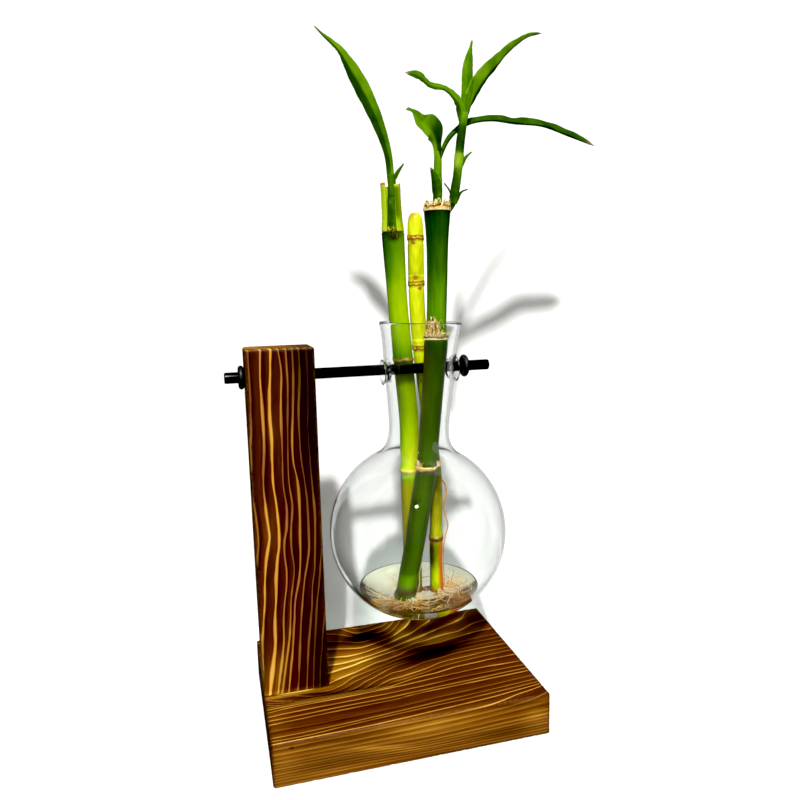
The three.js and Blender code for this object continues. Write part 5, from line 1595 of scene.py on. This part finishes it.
# the paper's back stands clear of the vase and the plant at both limits of the swing
PAPER_BACK = 86
PAPER_BEND = 20
PAPER_REACH = 12000
LAMPS_AIM = Vector((10, 0, 150)) * MM
CAMERA_PLACE = Vector((-75.7475, -313.1939, 203.1197)) * MM
CAMERA_LENS = 31.412
# turned right, tipped up and rolled, in radians
CAMERA_YAW = 0.2602
CAMERA_PITCH = -0.1548
CAMERA_ROLL = -0.0247
FILM_BLACK = 0.01


def paper_sweep():
    """White paper that lies under the stand and curves up close behind it.

    Only its front is there: from behind, it hides nothing. Glass mirrors its far part bright and its near
    part dark, as the room on that side is. Satin surfaces mirror it dark, and every surface is lit by it
    less than it looks, so that colours and shadows keep their depth.
    """
    section = [(-PAPER_REACH, 0)]
    section += [(PAPER_BACK - PAPER_BEND + PAPER_BEND * np.sin(a), PAPER_BEND - PAPER_BEND * np.cos(a))
                for a in np.linspace(0, np.pi / 2, 12)]
    section += [(PAPER_BACK, PAPER_REACH)]
    points = [(x, y, z) for y, z in section for x in (-PAPER_REACH, PAPER_REACH)]
    faces = [(2 * i, 2 * i + 1, 2 * i + 3, 2 * i + 2) for i in range(len(section) - 1)]
    sheet = new_object("paper_sweep", points, faces)
    material, add = new_material("white_paper")
    clouds = add("TexNoise", {"Scale": 3.0})
    path = add("LightPath").node.outputs
    mirrored = add("Math", [path["Glossy Depth"], 1.0], operation="MINIMUM")
    tint = add("ValToRGB", [clouds], [(0.0, "#f6f6f4"), (1.0, "#fbfbfa")])
    bounced = add("Math", [path["Diffuse Depth"], 1.0], operation="MINIMUM")
    tint = add("MixRGB", [bounced, tint, "#a4a4a0"])
    depth = add("SeparateXYZ", [add("TexCoord", out="Object")], out="Y")
    # from a little before the stand to just behind its middle
    near = add("MapRange", [depth, -0.09, 0.03, 0.0, 1.0])
    seen = add("ValToRGB", [near], [(0.0, "#303030"), (1.0, "#d2d2d0")])
    seen = add("MixRGB", [path["Is Singular Ray"], "#2a2a2a", seen])
    tint = add("MixRGB", [mirrored, tint, seen])
    front = add("BsdfDiffuse", {"Color": tint})
    behind = add("NewGeometry", out="Backfacing")
    nothing = add("BsdfTransparent")
    add("OutputMaterial", [add("MixShader", [behind, front, nothing])])
    sheet.data.polygons.foreach_set("use_smooth", [True] * len(faces))
    sheet.data.materials.append(material)


def lamp(name, kind, direction, energy, size, distance=1.0):
    data = bpy.data.lights.new(name, kind)
    data.energy = energy
    if kind == "SUN":
        data.angle = size
    else:
        data.shape = "DISK"
        data.size = size
    light = bpy.data.objects.new(name, data)
    way = Vector(direction).normalized()
    light.location = LAMPS_AIM + way * distance
    light.rotation_mode = "QUATERNION"
    light.rotation_quaternion = way.to_track_quat("Z", "Y")
    light.visible_glossy = kind == "SUN"
    bpy.context.scene.collection.objects.link(light)


def sky():
    """White seen straight or through glass, dimmer as a light, and mirrored dark on the camera's side."""
    world = bpy.data.worlds.new("studio")
    bpy.context.scene.world = world
    world.use_nodes = True
    world.node_tree.nodes.clear()
    add = node_adder(world.node_tree)
    path = add("LightPath").node.outputs
    seen = add("Math", [path["Is Camera Ray"], path["Is Transmission Ray"]], operation="MAXIMUM")
    seen = add("Math", [seen, path["Diffuse Depth"]], operation="SUBTRACT", use_clamp=True)
    strength = add("MapRange", [seen, 0.0, 1.0, 0.24, 1.03])
    mirrored = add("Math", [path["Glossy Depth"], 1.0], operation="MINIMUM")
    depth = add("SeparateXYZ", [add("TexCoord", out="Generated")], out="Y")
    room = add("MapRange", [depth, 0.1, 0.6, 0.04, 0.8])
    room = add("Math", [room, path["Is Singular Ray"]], operation="MULTIPLY")
    room = add("Math", [room, 0.04], operation="ADD")
    strength = add("MapRange", [mirrored, 0.0, 1.0, strength, room])
    light = add("Background", {"Color": "#ffffff", "Strength": strength})
    add("OutputWorld", [light])


def camera():
    data = bpy.data.cameras.new("camera")
    data.sensor_width = 36
    data.lens = CAMERA_LENS
    level = Vector((np.cos(CAMERA_YAW), -np.sin(CAMERA_YAW), 0))
    forward = Vector((np.sin(CAMERA_YAW) * np.cos(CAMERA_PITCH), np.cos(CAMERA_YAW) * np.cos(CAMERA_PITCH),
                      np.sin(CAMERA_PITCH)))
    above = level.cross(forward)
    right = level * np.cos(CAMERA_ROLL) + above * np.sin(CAMERA_ROLL)
    up = above * np.cos(CAMERA_ROLL) - level * np.sin(CAMERA_ROLL)
    made = bpy.data.objects.new("camera", data)
    bpy.context.scene.collection.objects.link(made)
    rows = [[right[i], up[i], -forward[i], CAMERA_PLACE[i]] for i in range(3)]
    made.matrix_world = Matrix(rows + [[0, 0, 0, 1]])
    bpy.context.scene.camera = made


paper_sweep()
sky()
camera()
lamp("key", "SUN", (-0.198, -0.657, 0.728), energy=4.15, size=np.radians(3.0))
lamp("fill_right", "AREA", (0.75, -0.6, 0.35), energy=1.1, size=0.5, distance=1.1)
lamp("back", "AREA", (0.1, 0.9, 0.6), energy=3, size=0.8, distance=1.2)
view = bpy.context.scene.view_settings
view.view_transform = "Standard"
# full blacks, as in a print
view.use_curve_mapping = True
view.curve_mapping.black_level = [FILM_BLACK] * 3
